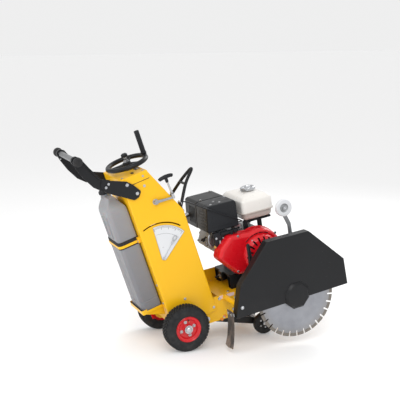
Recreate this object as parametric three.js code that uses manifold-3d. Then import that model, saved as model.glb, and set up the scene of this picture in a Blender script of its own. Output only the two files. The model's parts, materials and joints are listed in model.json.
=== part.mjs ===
// Walk-behind concrete saw, in millimetres: +X is the way it travels, +Y its left side, +Z up.
// The blade hangs on the right-hand side. The chassis is pitched nose-up, blade raised for moving.
import * as THREE from "three";
import { mergeVertices } from "three/addons/utils/BufferGeometryUtils.js";
import Module from "manifold-3d";

const wasm = await Module();
wasm.setup();

const DEG = Math.PI / 180;
const GAP = 0.4; // air left between pieces that touch

// ---- driving dimensions ----
const PITCH = 9.4 * DEG; // chassis nose-up angle with the blade raised
const LEAN = 9.4 * DEG; // column leans back by this from the chassis
const WHEEL_SIDES = 22; // facets round a wheel, one of them flat on the ground
const REAR_R = 128;
const REAR_W = 84;
const REAR_Y = 200; // half the rear track
const FRONT_R = 62;
const FRONT_W = 34;
const FRONT_AXLE_R = 10;
const FRONT_Y = 116;
const AXLE_R = 12.5; // rear axle

const COL_REAR = -54; // column faces, measured across its leaning axis
const COL_FRONT = 213;
const COL_BEND_W = 590; // height along the column where its front starts to slope back
const COL_TOP_FRONT = 93;
const COL_TOP_W = 862;
const COL_BOTTOM_W = -16;
const COL_HALF = 145; // half width
const SHEET = 4;

const SCREW_U = 44; // screw axis across the column
const WHEEL_W = 902; // handwheel ring height along the column
const RING_R = 104;
const RING_TUBE = 12.5;
const GRIP_LEN = 140;

const PIVOT_X = 150; // swing-frame pivot in the chassis
const PIVOT_Z = -17.5;
const SWING_L = 361;
const LEVER_BACK = 106; // rear lever eye, from the pivot
const LEVER_UP = 15;

const DECK_Z = 95;
const CHASSIS_FRONT = 745;
const CHASSIS_BOTTOM = -44;

const BLADE_X = 597; // blade shaft in the chassis
const BLADE_Z = 45.5;
const BLADE_R = 225;
const BLADE_Y = -337;
const BLADE_T = 3.6;
const BLADE_SEGMENTS = 30;
const SHAFT_R = 17.5;

const GUARD_Y0 = -362;
const GUARD_Y1 = -308;
const GUARD_PIVOT_X = 270;
const GUARD_PIVOT_Z = 80;

const CRANK_X = 500; // engine crankshaft
const CRANK_Z = 283;
const ENGINE_BASE = 177;
const SHROUD_R = 136; // fan housing round the crankshaft
const SHROUD_Y = -188; // its outer face
const PULLEY_Y0 = 160;
const PULLEY_Y1 = 200;
const ENGINE_PULLEY_R = 50;
const SHAFT_PULLEY_R = 60;

const SCALE_U = 25; // pivot of the depth pointer on the column side
const SCALE_W = 389;
const SCALE_R = 178;
const SLOT_R = 192;

const ROLLER_X = 676;
const ROLLER_Z = 492;
const ROLLER_R = 48;
const ROLLER_Y = -168;
const GUIDE_PIVOT_X = 706;
const GUIDE_PIVOT_Z = 62;

// ---- materials ----
const paint = (color, roughness = 0.45, metalness = 0) =>
  new THREE.MeshStandardMaterial({ color, roughness, metalness });
const yellow = () => paint(0xf5b814, 0.38);
const black = () => paint(0x15171b, 0.5);
const rubber = () => paint(0x101012, 0.9);
const red = () => paint(0xc8141e, 0.35);
const white = () => paint(0xe9e4da, 0.4);
const greyPlastic = () => paint(0x8f9095, 0.55);
const zinc = () => paint(0xb9bcc0, 0.35, 0.9);
const castAlloy = () => paint(0x9a9c9e, 0.6, 0.8);
const steel = () => paint(0x84888c, 0.4, 0.9);
const brass = () => paint(0xb08a3c, 0.35, 0.9);

// ---- solids ----
function solid(geometry) {
  const bare = new THREE.BufferGeometry();
  const flat = geometry.index ? geometry.toNonIndexed() : geometry;
  bare.setAttribute("position", flat.getAttribute("position"));
  const merged = mergeVertices(bare, 1e-3);
  return new wasm.Manifold(
    new wasm.Mesh({
      numProp: 3,
      vertProperties: merged.attributes.position.array,
      triVerts: new Uint32Array(merged.index.array),
    }),
  );
}

const join = (...pieces) => pieces.reduce((all, piece) => all.add(piece));
const cut = (body, ...tools) => tools.reduce((rest, tool) => rest.subtract(tool), body);

function mesh(name, made, material) {
  const m = made.getMesh();
  const geometry = new THREE.BufferGeometry();
  geometry.setAttribute("position", new THREE.BufferAttribute(new Float32Array(m.vertProperties), 3));
  geometry.setIndex(new THREE.BufferAttribute(new Uint32Array(m.triVerts), 1));
  const out = new THREE.Mesh(geometry, material);
  out.name = name;
  return out;
}

const box = (x0, x1, y0, y1, z0, z1) =>
  solid(
    new THREE.BoxGeometry(x1 - x0, y1 - y0, z1 - z0).translate((x0 + x1) / 2, (y0 + y1) / 2, (z0 + z1) / 2),
  );

// A bar of round section from a to b.
function rod(a, b, r, sides = 16, rEnd = r) {
  const from = new THREE.Vector3(...a);
  const to = new THREE.Vector3(...b);
  const along = to.clone().sub(from);
  const turn = new THREE.Quaternion().setFromUnitVectors(
    new THREE.Vector3(0, 1, 0),
    along.clone().normalize(),
  );
  const place = new THREE.Matrix4().compose(
    from.add(to).multiplyScalar(0.5),
    turn,
    new THREE.Vector3(1, 1, 1),
  );
  return solid(new THREE.CylinderGeometry(rEnd, r, along.length(), sides).applyMatrix4(place));
}
const rodY = (x, z, y0, y1, r, sides = 16) => rod([x, y0, z], [x, y1, z], r, sides);

// A plate: an outline in X and Z, thick from y0 to y1.
function plate(outline, y0, y1) {
  const shape = outline instanceof THREE.Shape ? outline : polygon(outline);
  const geometry = new THREE.ExtrudeGeometry(shape, {
    depth: y1 - y0,
    bevelEnabled: false,
    curveSegments: 8,
  });
  return solid(geometry.rotateX(Math.PI / 2).translate(0, y1, 0));
}
// The same with the outline in X and Y and the thickness in Z.
function slab(outline, z0, z1) {
  const shape = outline instanceof THREE.Shape ? outline : polygon(outline);
  const settings = { depth: z1 - z0, bevelEnabled: false, curveSegments: 3 };
  const geometry = new THREE.ExtrudeGeometry(shape, settings);
  return solid(geometry.translate(0, 0, z0));
}
const polygon = (points) => new THREE.Shape(points.map(([x, y]) => new THREE.Vector2(x, y)));

function roundedRect(x0, x1, y0, y1, r) {
  const s = new THREE.Shape();
  s.absarc(x1 - r, y0 + r, r, -Math.PI / 2, 0);
  s.absarc(x1 - r, y1 - r, r, 0, Math.PI / 2);
  s.absarc(x0 + r, y1 - r, r, Math.PI / 2, Math.PI);
  s.absarc(x0 + r, y0 + r, r, Math.PI, 1.5 * Math.PI);
  return s;
}

// A turned piece about Y at (x, z); the profile is [radius, y] from the axis and back to it.
function turned(profile, x, z, sides = 24, start = 0) {
  const points = profile.map(([r, y]) => new THREE.Vector2(r, y));
  return solid(new THREE.LatheGeometry(points, sides, start).translate(x, 0, z));
}

// A round bar bent along points.
function bar(points, r, sides = 10, steps = 30, closed = false) {
  const path = new THREE.CatmullRomCurve3(
    points.map((p) => new THREE.Vector3(...p)),
    closed,
    "centripetal",
  );
  const section = new THREE.Shape();
  section.absarc(0, 0, r, 0, 2 * Math.PI);
  const geometry = new THREE.ExtrudeGeometry(section, {
    extrudePath: path,
    steps,
    curveSegments: sides / 2,
    bevelEnabled: false,
  });
  return solid(geometry);
}

// ---- frames: the chassis turns about the rear axle, the column leans in it ----
const root = new THREE.Group();
const AXLE_H = REAR_R * Math.cos(Math.PI / WHEEL_SIDES);
const FRONT_H = FRONT_R * Math.cos(Math.PI / WHEEL_SIDES);
const chassis = new THREE.Group();
chassis.position.z = AXLE_H;
chassis.rotation.y = -PITCH;
const column = new THREE.Group();
column.rotation.y = -LEAN;
chassis.add(column);
root.add(chassis);

const pivotHeight = AXLE_H + PIVOT_X * Math.sin(PITCH) + PIVOT_Z * Math.cos(PITCH);
const swingDrop = Math.asin((pivotHeight - FRONT_H) / SWING_L) + PITCH; // below the chassis line
const swing = new THREE.Group();
swing.position.set(PIVOT_X, 0, PIVOT_Z);
swing.rotation.y = swingDrop;
chassis.add(swing);

// A point of the chassis in the column's frame.
const toColumn = (x, z) => [
  x * Math.cos(LEAN) + z * Math.sin(LEAN),
  -x * Math.sin(LEAN) + z * Math.cos(LEAN),
];

// ---- chassis ----
function chassisFrame() {
  const side = [
    [-50, CHASSIS_BOTTOM + 20],
    [-30, CHASSIS_BOTTOM],
    [CHASSIS_FRONT - 60, CHASSIS_BOTTOM],
    [CHASSIS_FRONT, CHASSIS_BOTTOM + 60],
    [CHASSIS_FRONT, DECK_Z],
    [-66, DECK_Z],
  ];
  const outer = COL_HALF - SHEET - 2;
  const sides = [-1, 1].map((s) => {
    const near = s < 0 ? -outer : outer - SHEET;
    return plate(side, near, near + SHEET);
  });
  const deck = box(228, CHASSIS_FRONT, -outer, outer, DECK_Z - 5, DECK_Z);
  const nose = box(CHASSIS_FRONT - 5, CHASSIS_FRONT, -outer, outer, CHASSIS_BOTTOM + 60, DECK_Z);
  const rearWall = box(-56, -52, -outer, outer, 10, DECK_Z);
  const pivotTube = rodY(PIVOT_X, PIVOT_Z, -outer, outer, 15, 14);
  const axleTubes = [-1, 1].map((s) => rodY(0, 0, s * (outer - 30), s * outer, 24, 14));
  const upstand = box(232, 372, 112, 116, DECK_Z - 1, DECK_Z + 74);
  const guardBoss = rodY(GUARD_PIVOT_X, GUARD_PIVOT_Z, GUARD_Y1 + 1, -outer + 1, 15, 12);
  const guideBoss = rodY(GUIDE_PIVOT_X, GUIDE_PIVOT_Z, -outer - 8, -outer + 1, 15, 12);
  const body = join(...sides, deck, nose, rearWall, pivotTube, ...axleTubes, upstand, guardBoss, guideBoss);
  return cut(
    body,
    rodY(0, 0, -200, 200, AXLE_R + GAP, 14),
    rodY(BLADE_X, BLADE_Z, -200, 200, 34, 18),
  );
}

// ---- column ----
function columnOutline(inset) {
  const slope = (COL_FRONT - COL_TOP_FRONT) / (COL_TOP_W - COL_BEND_W);
  const back = inset * Math.hypot(1, slope);
  return [
    [COL_REAR + inset, COL_BOTTOM_W - inset],
    [COL_FRONT - inset, COL_BOTTOM_W - inset],
    [COL_FRONT - inset, COL_BEND_W - inset * slope],
    [COL_TOP_FRONT - back - inset * slope * slope, COL_TOP_W + inset],
    [COL_REAR + inset, COL_TOP_W + inset],
  ];
}

function columnShell() {
  const body = plate(columnOutline(0), -COL_HALF, COL_HALF);
  const hollow = plate(columnOutline(SHEET), -COL_HALF + SHEET, COL_HALF - SHEET);
  const slot = new THREE.Shape();
  slot.absarc(SCALE_U, SCALE_W, SLOT_R + 4, 42 * DEG, 107 * DEG);
  slot.absarc(SCALE_U, SCALE_W, SLOT_R - 4, 107 * DEG, 42 * DEG, true);
  // openings for the swing pivot, the axle tube and the chassis sides under the skirt
  const [pivotU, pivotW] = toColumn(PIVOT_X, PIVOT_Z);
  const foot = box(COL_REAR - 1, COL_FRONT - 34, -COL_HALF + SHEET + 0.1, COL_HALF - SHEET - 0.1, -60, 118);
  return cut(
    body,
    hollow,
    plate(slot, -COL_HALF - 1, -COL_HALF + SHEET + 1),
    rodY(pivotU, pivotW, -COL_HALF - 1, COL_HALF + 1, 19, 14),
    rodY(0, 0, -COL_HALF - 1, COL_HALF + 1, AXLE_R + 3, 14),
    foot,
    box(COL_FRONT - 20, COL_FRONT + 1, -COL_HALF + SHEET + 0.1, COL_HALF - SHEET - 0.1, -60, 140),
    rodY(81, 692, -COL_HALF - 1, COL_HALF + 1, 8 + GAP, 12),
  );
}

function columnCap() {
  const top = COL_TOP_W + 5;
  const lid = box(COL_REAR - 3, COL_TOP_FRONT + 1, -COL_HALF - 3, COL_HALF + 3, COL_TOP_W + GAP, top);
  const rearLip = box(COL_REAR - 3, COL_REAR - GAP, -COL_HALF - 3, COL_HALF + 3, COL_TOP_W - 8, top);
  return cut(join(lid, rearLip), rod([SCREW_U, 0, COL_TOP_W - 5], [SCREW_U, 0, top + 5], 15.5, 14));
}

function screwBearing() {
  const base = COL_TOP_W + 5 + GAP;
  const profile = [
    [11.5, base - 24],
    [15, base - 24],
    [15, base],
    [30, base],
    [30, base + 4],
    [22, base + 12],
    [11.5, base + 12],
    [11.5, base - 24],
  ];
  const points = profile.map(([r, w]) => new THREE.Vector2(r, w));
  return solid(new THREE.LatheGeometry(points, 24).rotateX(Math.PI / 2).translate(SCREW_U, 0, 0));
}

// A turned piece about the column's own direction, at (u, v); profile is [radius, w].
function turnedUp(profile, u, v, sides = 24) {
  const points = profile.map(([r, w]) => new THREE.Vector2(r, w));
  return solid(new THREE.LatheGeometry(points, sides).rotateX(Math.PI / 2).translate(u, v, 0));
}

// ---- depth screw, handwheel and lift rod ----
const NUT_W = 420;
function depthScrew() {
  return turnedUp(
    [
      [0, NUT_W - 70],
      [10, NUT_W - 70],
      [10, COL_TOP_W - 30],
      [11, COL_TOP_W - 30],
      [11, WHEEL_W - 12],
      [0, WHEEL_W - 12],
    ],
    SCREW_U,
    0,
    16,
  );
}

function handwheel() {
  const ring = [];
  for (let i = 0; i <= 8; i++) {
    const a = (i * 45 + 22.5) * DEG;
    ring.push([RING_R + RING_TUBE * Math.cos(a), WHEEL_W + RING_TUBE * Math.sin(a)]);
  }
  const rim = turnedUp(ring, SCREW_U, 0, 28);
  const hub = turnedUp(
    [
      [0, WHEEL_W - 12 + GAP],
      [22, WHEEL_W - 12 + GAP],
      [22, WHEEL_W + 8],
      [0, WHEEL_W + 8],
    ],
    SCREW_U,
    0,
    20,
  );
  const spokes = [60, 180, 300].map((turn) => {
    const c = Math.cos(turn * DEG);
    const s = Math.sin(turn * DEG);
    return rod([SCREW_U + 12 * c, 12 * s, WHEEL_W - 2], [SCREW_U + RING_R * c, RING_R * s, WHEEL_W], 8, 10);
  });
  const pin = rod([SCREW_U + RING_R, 0, WHEEL_W], [SCREW_U + RING_R, 0, WHEEL_W + GRIP_LEN - 4], 5, 10);
  return join(rim, hub, ...spokes, pin);
}

function crankGrip() {
  const base = WHEEL_W + RING_TUBE + 1.5;
  const top = WHEEL_W + GRIP_LEN;
  return turnedUp(
    [
      [5.4, base],
      [14, base],
      [15.5, base + 6],
      [14.5, base + 30],
      [14.5, top - 4],
      [12, top],
      [5.4, top],
      [5.4, base],
    ],
    SCREW_U + RING_R,
    0,
    18,
  );
}

function lockKnob() {
  const base = WHEEL_W + 8 + GAP;
  return turnedUp(
    [
      [0, base],
      [8, base],
      [8, base + 24],
      [15, base + 27],
      [17, base + 36],
      [12, base + 46],
      [0, base + 47],
    ],
    SCREW_U,
    0,
    18,
  );
}

function liftRod() {
  const [tipU, tipW] = toColumn(PIVOT_X - LEVER_BACK, PIVOT_Z + LEVER_UP);
  const nut = box(SCREW_U - 22, SCREW_U + 22, -22, 22, NUT_W - 20, NUT_W + 20);
  const skirt = box(SCREW_U - 22, SCREW_U + 22, -22, 22, NUT_W - 110, NUT_W - 19);
  const tang = box(tipU - 19, tipU + 19, -8, 8, tipW - 19, NUT_W - 100);
  const bore = rod([SCREW_U, 0, NUT_W - 100], [SCREW_U, 0, NUT_W + 30], 10.6, 12);
  return cut(join(nut, skirt, tang), bore, rodY(tipU, tipW, -20, 20, 13, 12));
}

// ---- swing frame with the front wheels ----
function swingFrame() {
  const armOutline = [
    [-22, -14],
    [10, -22],
    [SWING_L - 10, -16],
    [SWING_L + 16, -8],
    [SWING_L + 16, 14],
    [SWING_L - 20, 20],
    [10, 26],
    [-18, 18],
  ];
  const arms = [-1, 1].map((s) => plate(armOutline, s < 0 ? -94 : 86, s < 0 ? -86 : 94));
  const pivotSleeve = rodY(0, 0, -94, 94, 24, 18);
  const brace = rodY(SWING_L * 0.62, 2, -90, 90, 12, 10);
  const across = new THREE.Vector3(0, 1, 0);
  const tip = new THREE.Vector3(-LEVER_BACK, 0, LEVER_UP).applyAxisAngle(across, -swingDrop);
  const earOutline = [
    [0, -20],
    [0, 22],
    [tip.x, tip.z + 13],
    [tip.x - 8, tip.z],
    [tip.x, tip.z - 13],
  ];
  const ears = [-1, 1].map((s) => {
    const near = s < 0 ? -20 : 12;
    return join(
      plate(earOutline, near, near + 8),
      rodY(tip.x, tip.z, near, near + 8, 13, 12),
    );
  });
  const pin = rodY(tip.x, tip.z, -20, 20, 7, 10);
  return cut(
    join(...arms, pivotSleeve, brace, ...ears, pin),
    rodY(0, 0, -100, 100, 15.5, 18),
    rodY(SWING_L, 0, -100, 100, FRONT_AXLE_R + GAP, 14),
  );
}

const frontAxle = () => rodY(SWING_L, 0, -FRONT_Y - FRONT_W / 2, FRONT_Y + FRONT_W / 2, FRONT_AXLE_R, 12);

function wheelProfile(radius, width, bore) {
  const h = width / 2;
  return [
    [bore, -h + 3],
    [radius * 0.56, -h + 4],
    [radius * 0.7, -h],
    [radius * 0.9, -h],
    [radius, -h * 0.72],
    [radius, h * 0.72],
    [radius * 0.9, h],
    [radius * 0.7, h],
    [radius * 0.56, h - 4],
    [bore, h - 3],
    [bore, -h + 3],
  ];
}

// The wheel is turned back by its frame's tilt so that one facet lies flat on the ground.
function frontWheel(side) {
  const profile = wheelProfile(FRONT_R, FRONT_W, FRONT_AXLE_R + GAP);
  const wheel = turned(profile, 0, 0, WHEEL_SIDES, Math.PI / WHEEL_SIDES);
  const out = mesh(side < 0 ? "front_wheel_right" : "front_wheel_left", wheel, rubber());
  out.position.set(SWING_L, side * FRONT_Y, 0);
  out.rotation.y = PITCH - swingDrop;
  return out;
}

// ---- rear wheels ----
function rearTyre() {
  const h = REAR_W / 2;
  const rim = 72;
  return turned(
    [
      [rim + GAP, -h + 12],
      [rim + 10, -h + 3],
      [rim + 28, -h],
      [REAR_R - 12, -h + 5],
      [REAR_R, -h + 20],
      [REAR_R, h - 20],
      [REAR_R - 12, h - 5],
      [rim + 28, h],
      [rim + 10, h - 3],
      [rim + GAP, h - 12],
      [rim + GAP, -h + 12],
    ],
    0,
    0,
    WHEEL_SIDES,
    Math.PI / WHEEL_SIDES,
  );
}

function rearRim() {
  const h = REAR_W / 2;
  const body = turned(
    [
      [13, -h + 2],
      [22, -h + 2],
      [22, -h + 18],
      [54, -h + 20],
      [72, -h + 10],
      [72, h - 10],
      [54, h - 20],
      [22, h - 18],
      [22, h - 2],
      [13, h - 2],
      [13, -h + 2],
    ],
    0,
    0,
    WHEEL_SIDES,
    Math.PI / WHEEL_SIDES,
  );
  return body;
}

function rearAxle() {
  const end = REAR_Y + REAR_W / 2 + 4;
  const bolt = rodY(0, 0, -end, end, AXLE_R, 14);
  const caps = [-1, 1].map((s) => rodY(0, 0, s * (end + 8), s * (end - 5.5), 19, 6));
  const collars = [-1, 1].map((s) => rodY(0, 0, s * 147, s * 157, 20, 14));
  return join(bolt, ...caps, ...collars);
}

// ---- water tank behind the column ----
const TANK_REAR = COL_REAR - 112;
const TANK_FRONT = COL_REAR - 3;
const TANK_HALF = 96;
const SHELF_W = 122;

function waterTank() {
  const bottom = SHELF_W + 6;
  const outline = roundedRect(TANK_REAR, TANK_FRONT, -TANK_HALF, TANK_HALF, 20);
  const body = slab(outline, bottom, 735);
  const stepIn = (rear, front, side, r) =>
    roundedRect(TANK_REAR + rear, TANK_FRONT - front, -TANK_HALF + side, TANK_HALF - side, r);
  const shoulder = slab(stepIn(8, 4, 12, 18), 734, 762);
  const dome = slab(stepIn(20, 12, 30, 14), 761, 778);
  const neck = rod([TANK_REAR + 52, 30, 777], [TANK_REAR + 52, 30, 790], 24, 14);
  const outlet = rod([TANK_REAR + 56, 0, bottom - 22], [TANK_REAR + 56, 0, bottom + 1], 10, 10);
  return join(body, shoulder, dome, neck, outlet);
}

const tankCap = () =>
  turnedUp(
    [
      [0, 790 + GAP],
      [29, 790 + GAP],
      [29, 808],
      [26, 811],
      [0, 811],
    ],
    TANK_REAR + 52,
    30,
    20,
  );

function tankBand() {
  const out = roundedRect(TANK_REAR - 4, COL_REAR - GAP, -TANK_HALF - 4, TANK_HALF + 4, 12);
  const inner = roundedRect(TANK_REAR - 0.6, COL_REAR + 2, -TANK_HALF - 0.6, TANK_HALF + 0.6, 18);
  return cut(slab(out, 512, 540), slab(inner, 511, 541));
}

function tankShelf() {
  const w = SHELF_W;
  const tray = box(TANK_REAR - 8, COL_REAR - GAP, -TANK_HALF - 6, TANK_HALF + 6, w, w + 4);
  const lip = box(TANK_REAR - 8, TANK_REAR - 4, -TANK_HALF - 6, TANK_HALF + 6, w, w + 26);
  const sideLips = [-1, 1].map((s) => {
    const near = s < 0 ? -TANK_HALF - 6 : TANK_HALF + 2;
    return box(TANK_REAR - 8, COL_REAR - GAP, near, near + 4, w, w + 18);
  });
  const braces = [-1, 1].map((s) => {
    const near = s < 0 ? -TANK_HALF : TANK_HALF - 4;
    const corner = [
      [TANK_REAR + 4, w + 1],
      [COL_REAR - GAP, w + 1],
      [COL_REAR - GAP, w - 46],
    ];
    return plate(corner, near, near + 4);
  });
  return cut(
    join(tray, lip, ...sideLips, ...braces),
    rod([TANK_REAR + 56, 0, w - 10], [TANK_REAR + 56, 0, w + 10], 14, 12),
  );
}

function waterValve() {
  const w = SHELF_W + 6 - 22 - GAP;
  const u = TANK_REAR + 56;
  const body = rod([u, 0, w], [u, 0, w - 34], 11, 10);
  const stem = rod([u, 0, w - 17], [u, -20, w - 17], 6, 10);
  const spigot = rod([u, 0, w - 24], [u + 30, 0, w - 24], 7, 10);
  return join(body, stem, spigot);
}

function valveLever() {
  const w = SHELF_W + 6 - 22 - GAP - 17;
  const u = TANK_REAR + 56;
  return join(rod([u, -20.4, w], [u, -26, w], 8, 10), box(u - 6, u + 6, -26, -23, w - 42, w));
}

// ---- handlebar ----
const TUBE_U = -238;
const TUBE_W = 1050;
const ARM_Y = COL_HALF + 4;
function handlebarArm(side) {
  const outline = [
    [26, 778],
    [-4, 826],
    [-29, 853],
    [-152, 917],
    [-186, 991],
    [-212, 1058],
    [-236, 1072],
    [-262, 1058],
    [-250, 1010],
    [-231, 953],
    [-199, 890],
    [-150, 841],
    [-22, 746],
    [6, 752],
  ];
  const near = side < 0 ? -ARM_Y - 7 : ARM_Y;
  const bolts = [rodY(3, 774, near - 1, near + 8, 6.5, 10), rodY(-33, 836, near - 1, near + 8, 6.5, 10)];
  const tubeHole = rodY(TUBE_U, TUBE_W, near - 1, near + 8, 14 + GAP, 14);
  return cut(plate(outline, near, near + 7), ...bolts, tubeHole);
}

function handlebarTube() {
  const ends = [-1, 1].map((s) => rodY(TUBE_U, TUBE_W, s * 178, s * 205, 24, 14));
  const collars = [-1, 1].map((s) => rodY(TUBE_U, TUBE_W, s * 132, s * 148, 22, 14));
  return join(rodY(TUBE_U, TUBE_W, -190, 190, 14, 14), ...ends, ...collars);
}

// ---- depth scale, release lever and lifting bail ----
function depthScale() {
  const sector = new THREE.Shape();
  sector.moveTo(SCALE_U, SCALE_W - 14);
  sector.absarc(SCALE_U, SCALE_W, SCALE_R, 30 * DEG, 92 * DEG);
  sector.lineTo(SCALE_U - 12, SCALE_W);
  return plate(sector, -COL_HALF - 1.6, -COL_HALF - GAP);
}

function depthPointer() {
  const a = 41 * DEG;
  const at = (r, side) => [
    SCALE_U + r * Math.cos(a) - side * Math.sin(a),
    SCALE_W + r * Math.sin(a) + side * Math.cos(a),
  ];
  const y1 = -COL_HALF - 2;
  const arm = plate([at(0, -3), at(112, -2), at(112, 2), at(0, 3)], y1 - 1.5, y1);
  const [eyeU, eyeW] = at(122, 0);
  const eye = rodY(eyeU, eyeW, y1 - 1.5, y1, 12, 14);
  const hole = rodY(eyeU, eyeW, y1 - 3, y1 + 1, 7, 12);
  return cut(join(arm, eye, rodY(SCALE_U, SCALE_W, y1 - 5, y1, 8, 12)), hole);
}

function releaseLever() {
  const y = -COL_HALF - 12;
  const shaft = rodY(81, 692, -COL_HALF - 18, COL_HALF + 10, 8, 10);
  const nut = rodY(81, 692, -COL_HALF - 22, -COL_HALF - 15, 14, 6);
  const arm = plate(
    [
      [72, 684],
      [81, 682],
      [180, 674],
      [186, 681],
      [180, 688],
      [84, 701],
    ],
    y - 3,
    y + 3,
  );
  return cut(join(shaft, nut, arm), rodY(177, 681, y - 10, y + 10, 4, 10));
}

function pullRod() {
  const y = -COL_HALF - 12;
  const eyes = [-1, 1].map((s) => box(170, 184, y + s * 5.5 - 1.5, y + s * 5.5 + 1.5, 672, 706));
  const bridge = box(170, 184, y - 7, y + 7, 699, 706);
  const pin = rodY(177, 681, y - 6, y + 6, 3.4, 10);
  return join(...eyes, bridge, pin, rod([176, y, 705], [171, y, 784], 5, 10));
}

function tHandle() {
  const y = -COL_HALF - 12;
  const grip = rod([132, y, 796], [210, y, 796], 9.5, 10);
  const neck = rod([171, y, 772], [171, y, 796], 9, 10);
  return cut(join(grip, neck), rod([172.3, y, 764], [170.9, y, 785.6], 5.8, 10));
}

function liftingBail() {
  const foot = [COL_FRONT + 2, 96, 594];
  const apex = [371, 0, 736];
  const leg = (s) => [
    [COL_FRONT + 6, s * 94, 596],
    [300, s * 40, 682],
    [358, s * 14, 727],
  ];
  const bend = bar([...leg(-1), apex, ...leg(1).reverse()], 8.5, 8, 22);
  const cross = rod([300, -41, 682], [300, 41, 682], 7, 10);
  const footAt = (y) => box(foot[0] - 1.6, foot[0] + 6, y - 16, y + 16, 566, 622);
  const feet = [footAt(-foot[1]), footAt(foot[1])];
  return cut(join(bend, cross, ...feet), box(COL_FRONT - 30, COL_FRONT + GAP, -130, 130, 500, 700));
}

// ---- engine ----
function enginePlatform() {
  const rails = [-1, 1].map((s) => {
    const near = s < 0 ? -104 : 64;
    return box(330, 690, near, near + 40, DECK_Z + GAP, ENGINE_BASE - 8);
  });
  const top = box(330, 660, -104, 104, ENGINE_BASE - 8 - 1, ENGINE_BASE - GAP);
  const tensionerPlate = box(318, 331, -22, 22, 130, ENGINE_BASE - GAP);
  const tensioner = join(tensionerPlate, rod([270, 0, 150], [330, 0, 150], 6, 10));
  return join(...rails, top, tensioner);
}

function crankcase() {
  const outline = [
    [384, ENGINE_BASE],
    [628, ENGINE_BASE],
    [628, 214],
    [604, 330],
    [560, 392],
    [440, 400],
    [400, 352],
    [372, 262],
  ];
  const body = plate(outline, -112, 96);
  const cover = rodY(CRANK_X, CRANK_Z, 95, 112, 84, 18);
  const oilFill = rod([620, -50, 226], [648, -50, 240], 14, 10);
  return cut(join(body, cover, oilFill), rodY(CRANK_X, CRANK_Z, 60, 120, 14, 12));
}

// The barrel and its fins lie 25 degrees above the level, towards the column.
const BARREL_TILT = 25 * DEG;
function cylinder() {
  const along = (d, up) => [
    CRANK_X - 96 - d * Math.cos(BARREL_TILT) - up * Math.sin(BARREL_TILT),
    CRANK_Z + 46 + d * Math.sin(BARREL_TILT) - up * Math.cos(BARREL_TILT),
  ];
  // the stretch of the barrel from d0 to d1, half as tall and half as wide as told
  const stretch = (d0, d1, half, y) =>
    plate([along(d1, -half), along(d1, half), along(d0, half), along(d0, -half)], -y, y);
  const fins = [];
  for (let d = 10; d <= 100; d += 15) fins.push(stretch(d, d + 4, 66, 82));
  const barrel = join(stretch(0, 132, 46, 60), ...fins, stretch(131, 168, 40, 58));
  const crankcaseSide = [
    [372, 100],
    [900, 100],
    [900, 700],
    [400, 700],
    [400, 352],
    [372, 262],
  ];
  return cut(barrel, plate(crankcaseSide.map(([x, z]) => [x - GAP, z]), -120, 120));
}

function fanShroud() {
  const s = new THREE.Shape();
  s.moveTo(358, 190);
  s.lineTo(596, 184);
  s.absarc(CRANK_X, CRANK_Z, SHROUD_R, -46 * DEG, 110 * DEG);
  s.lineTo(318, 420);
  s.lineTo(250, 330);
  s.lineTo(248, 310);
  return plate(s, SHROUD_Y, -112 - GAP);
}

function recoilStarter() {
  const y = SHROUD_Y - GAP;
  const dish = turned(
    [
      [0, y - 38],
      [62, y - 38],
      [84, y - 30],
      [104, y - 12],
      [108, y],
      [0, y],
    ],
    CRANK_X,
    CRANK_Z,
    30,
  );
  const slots = [];
  for (let i = 0; i < 14; i++) {
    const a = (i * 360) / 14 * DEG;
    const c = Math.cos(a);
    const s = Math.sin(a);
    const p = (r, t) => [CRANK_X + r * c - t * s, CRANK_Z + r * s + t * c];
    slots.push(plate([p(66, -4), p(88, -5), p(88, 5), p(66, 4)], y - 45, y - 16));
  }
  return cut(dish, ...slots);
}

// The starter's grip parks against the dish, low on the side towards the column.
function recoilHandle() {
  const y = SHROUD_Y - 48;
  return rod([406, y, 248], [406, y, 372], 11, 10);
}

function fuelTank() {
  const lower = slab(roundedRect(462, 640, -108, 152, 24), 452, 493);
  const rim = slab(roundedRect(450, 652, -120, 162, 26), 492, 498);
  const upper = slab(roundedRect(456, 646, -114, 156, 26), 497, 566);
  const crown = slab(roundedRect(468, 634, -102, 144, 24), 565, 586);
  return join(lower, rim, upper, crown);
}

const fuelCap = () =>
  turnedUp(
    [
      [0, 586 + GAP],
      [34, 586 + GAP],
      [41, 591],
      [41, 604],
      [36, 608],
      [0, 608],
    ],
    566,
    20,
    28,
  );

// The air cleaner's case and the muffler's shield share one side outline.
const TOP_BOX = [
  [235, 446],
  [248, 584],
  [262, 592],
  [412, 592],
  [422, 582],
  [422, 446],
];
const airCleaner = () => plate(TOP_BOX, -125, 22);

function muffler() {
  const shield = plate(TOP_BOX, 24, 181);
  const pipe = rod([330, 104, 447], [330, 104, 424], 20, 12);
  const outlet = rod([240, 150, 500], [205, 150, 488], 13, 10);
  return join(shield, pipe, outlet);
}

function carburettor() {
  const bodyBox = box(408, 452, -84, -30, 406, 445);
  const bowl = rod([430, -57, 402], [430, -57, 407], 18, 12);
  return join(bodyBox, bowl);
}

function throttleLever() {
  return join(
    rod([430, -84.6, 426], [430, -90, 426], 7, 10),
    box(425, 435, -90, -87, 424, 472),
  );
}

// Throttle cable: from the column's near face to the lever at the carburettor.
function throttleCable() {
  return bar(
    [
      [96, -128, 664],
      [150, -134, 645],
      [235, -135, 592],
      [330, -135, 536],
      [408, -135, 490],
      [438, -128, 470],
      [441, -110, 462],
      [434, -95, 460],
    ],
    3.2,
    8,
    26,
  );
}

const sparkPlugCap = () =>
  join(rod([236, -40, 392], [214, -70, 404], 11, 10), rod([216, -68, 403], [232, -96, 424], 5, 10));

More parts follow.
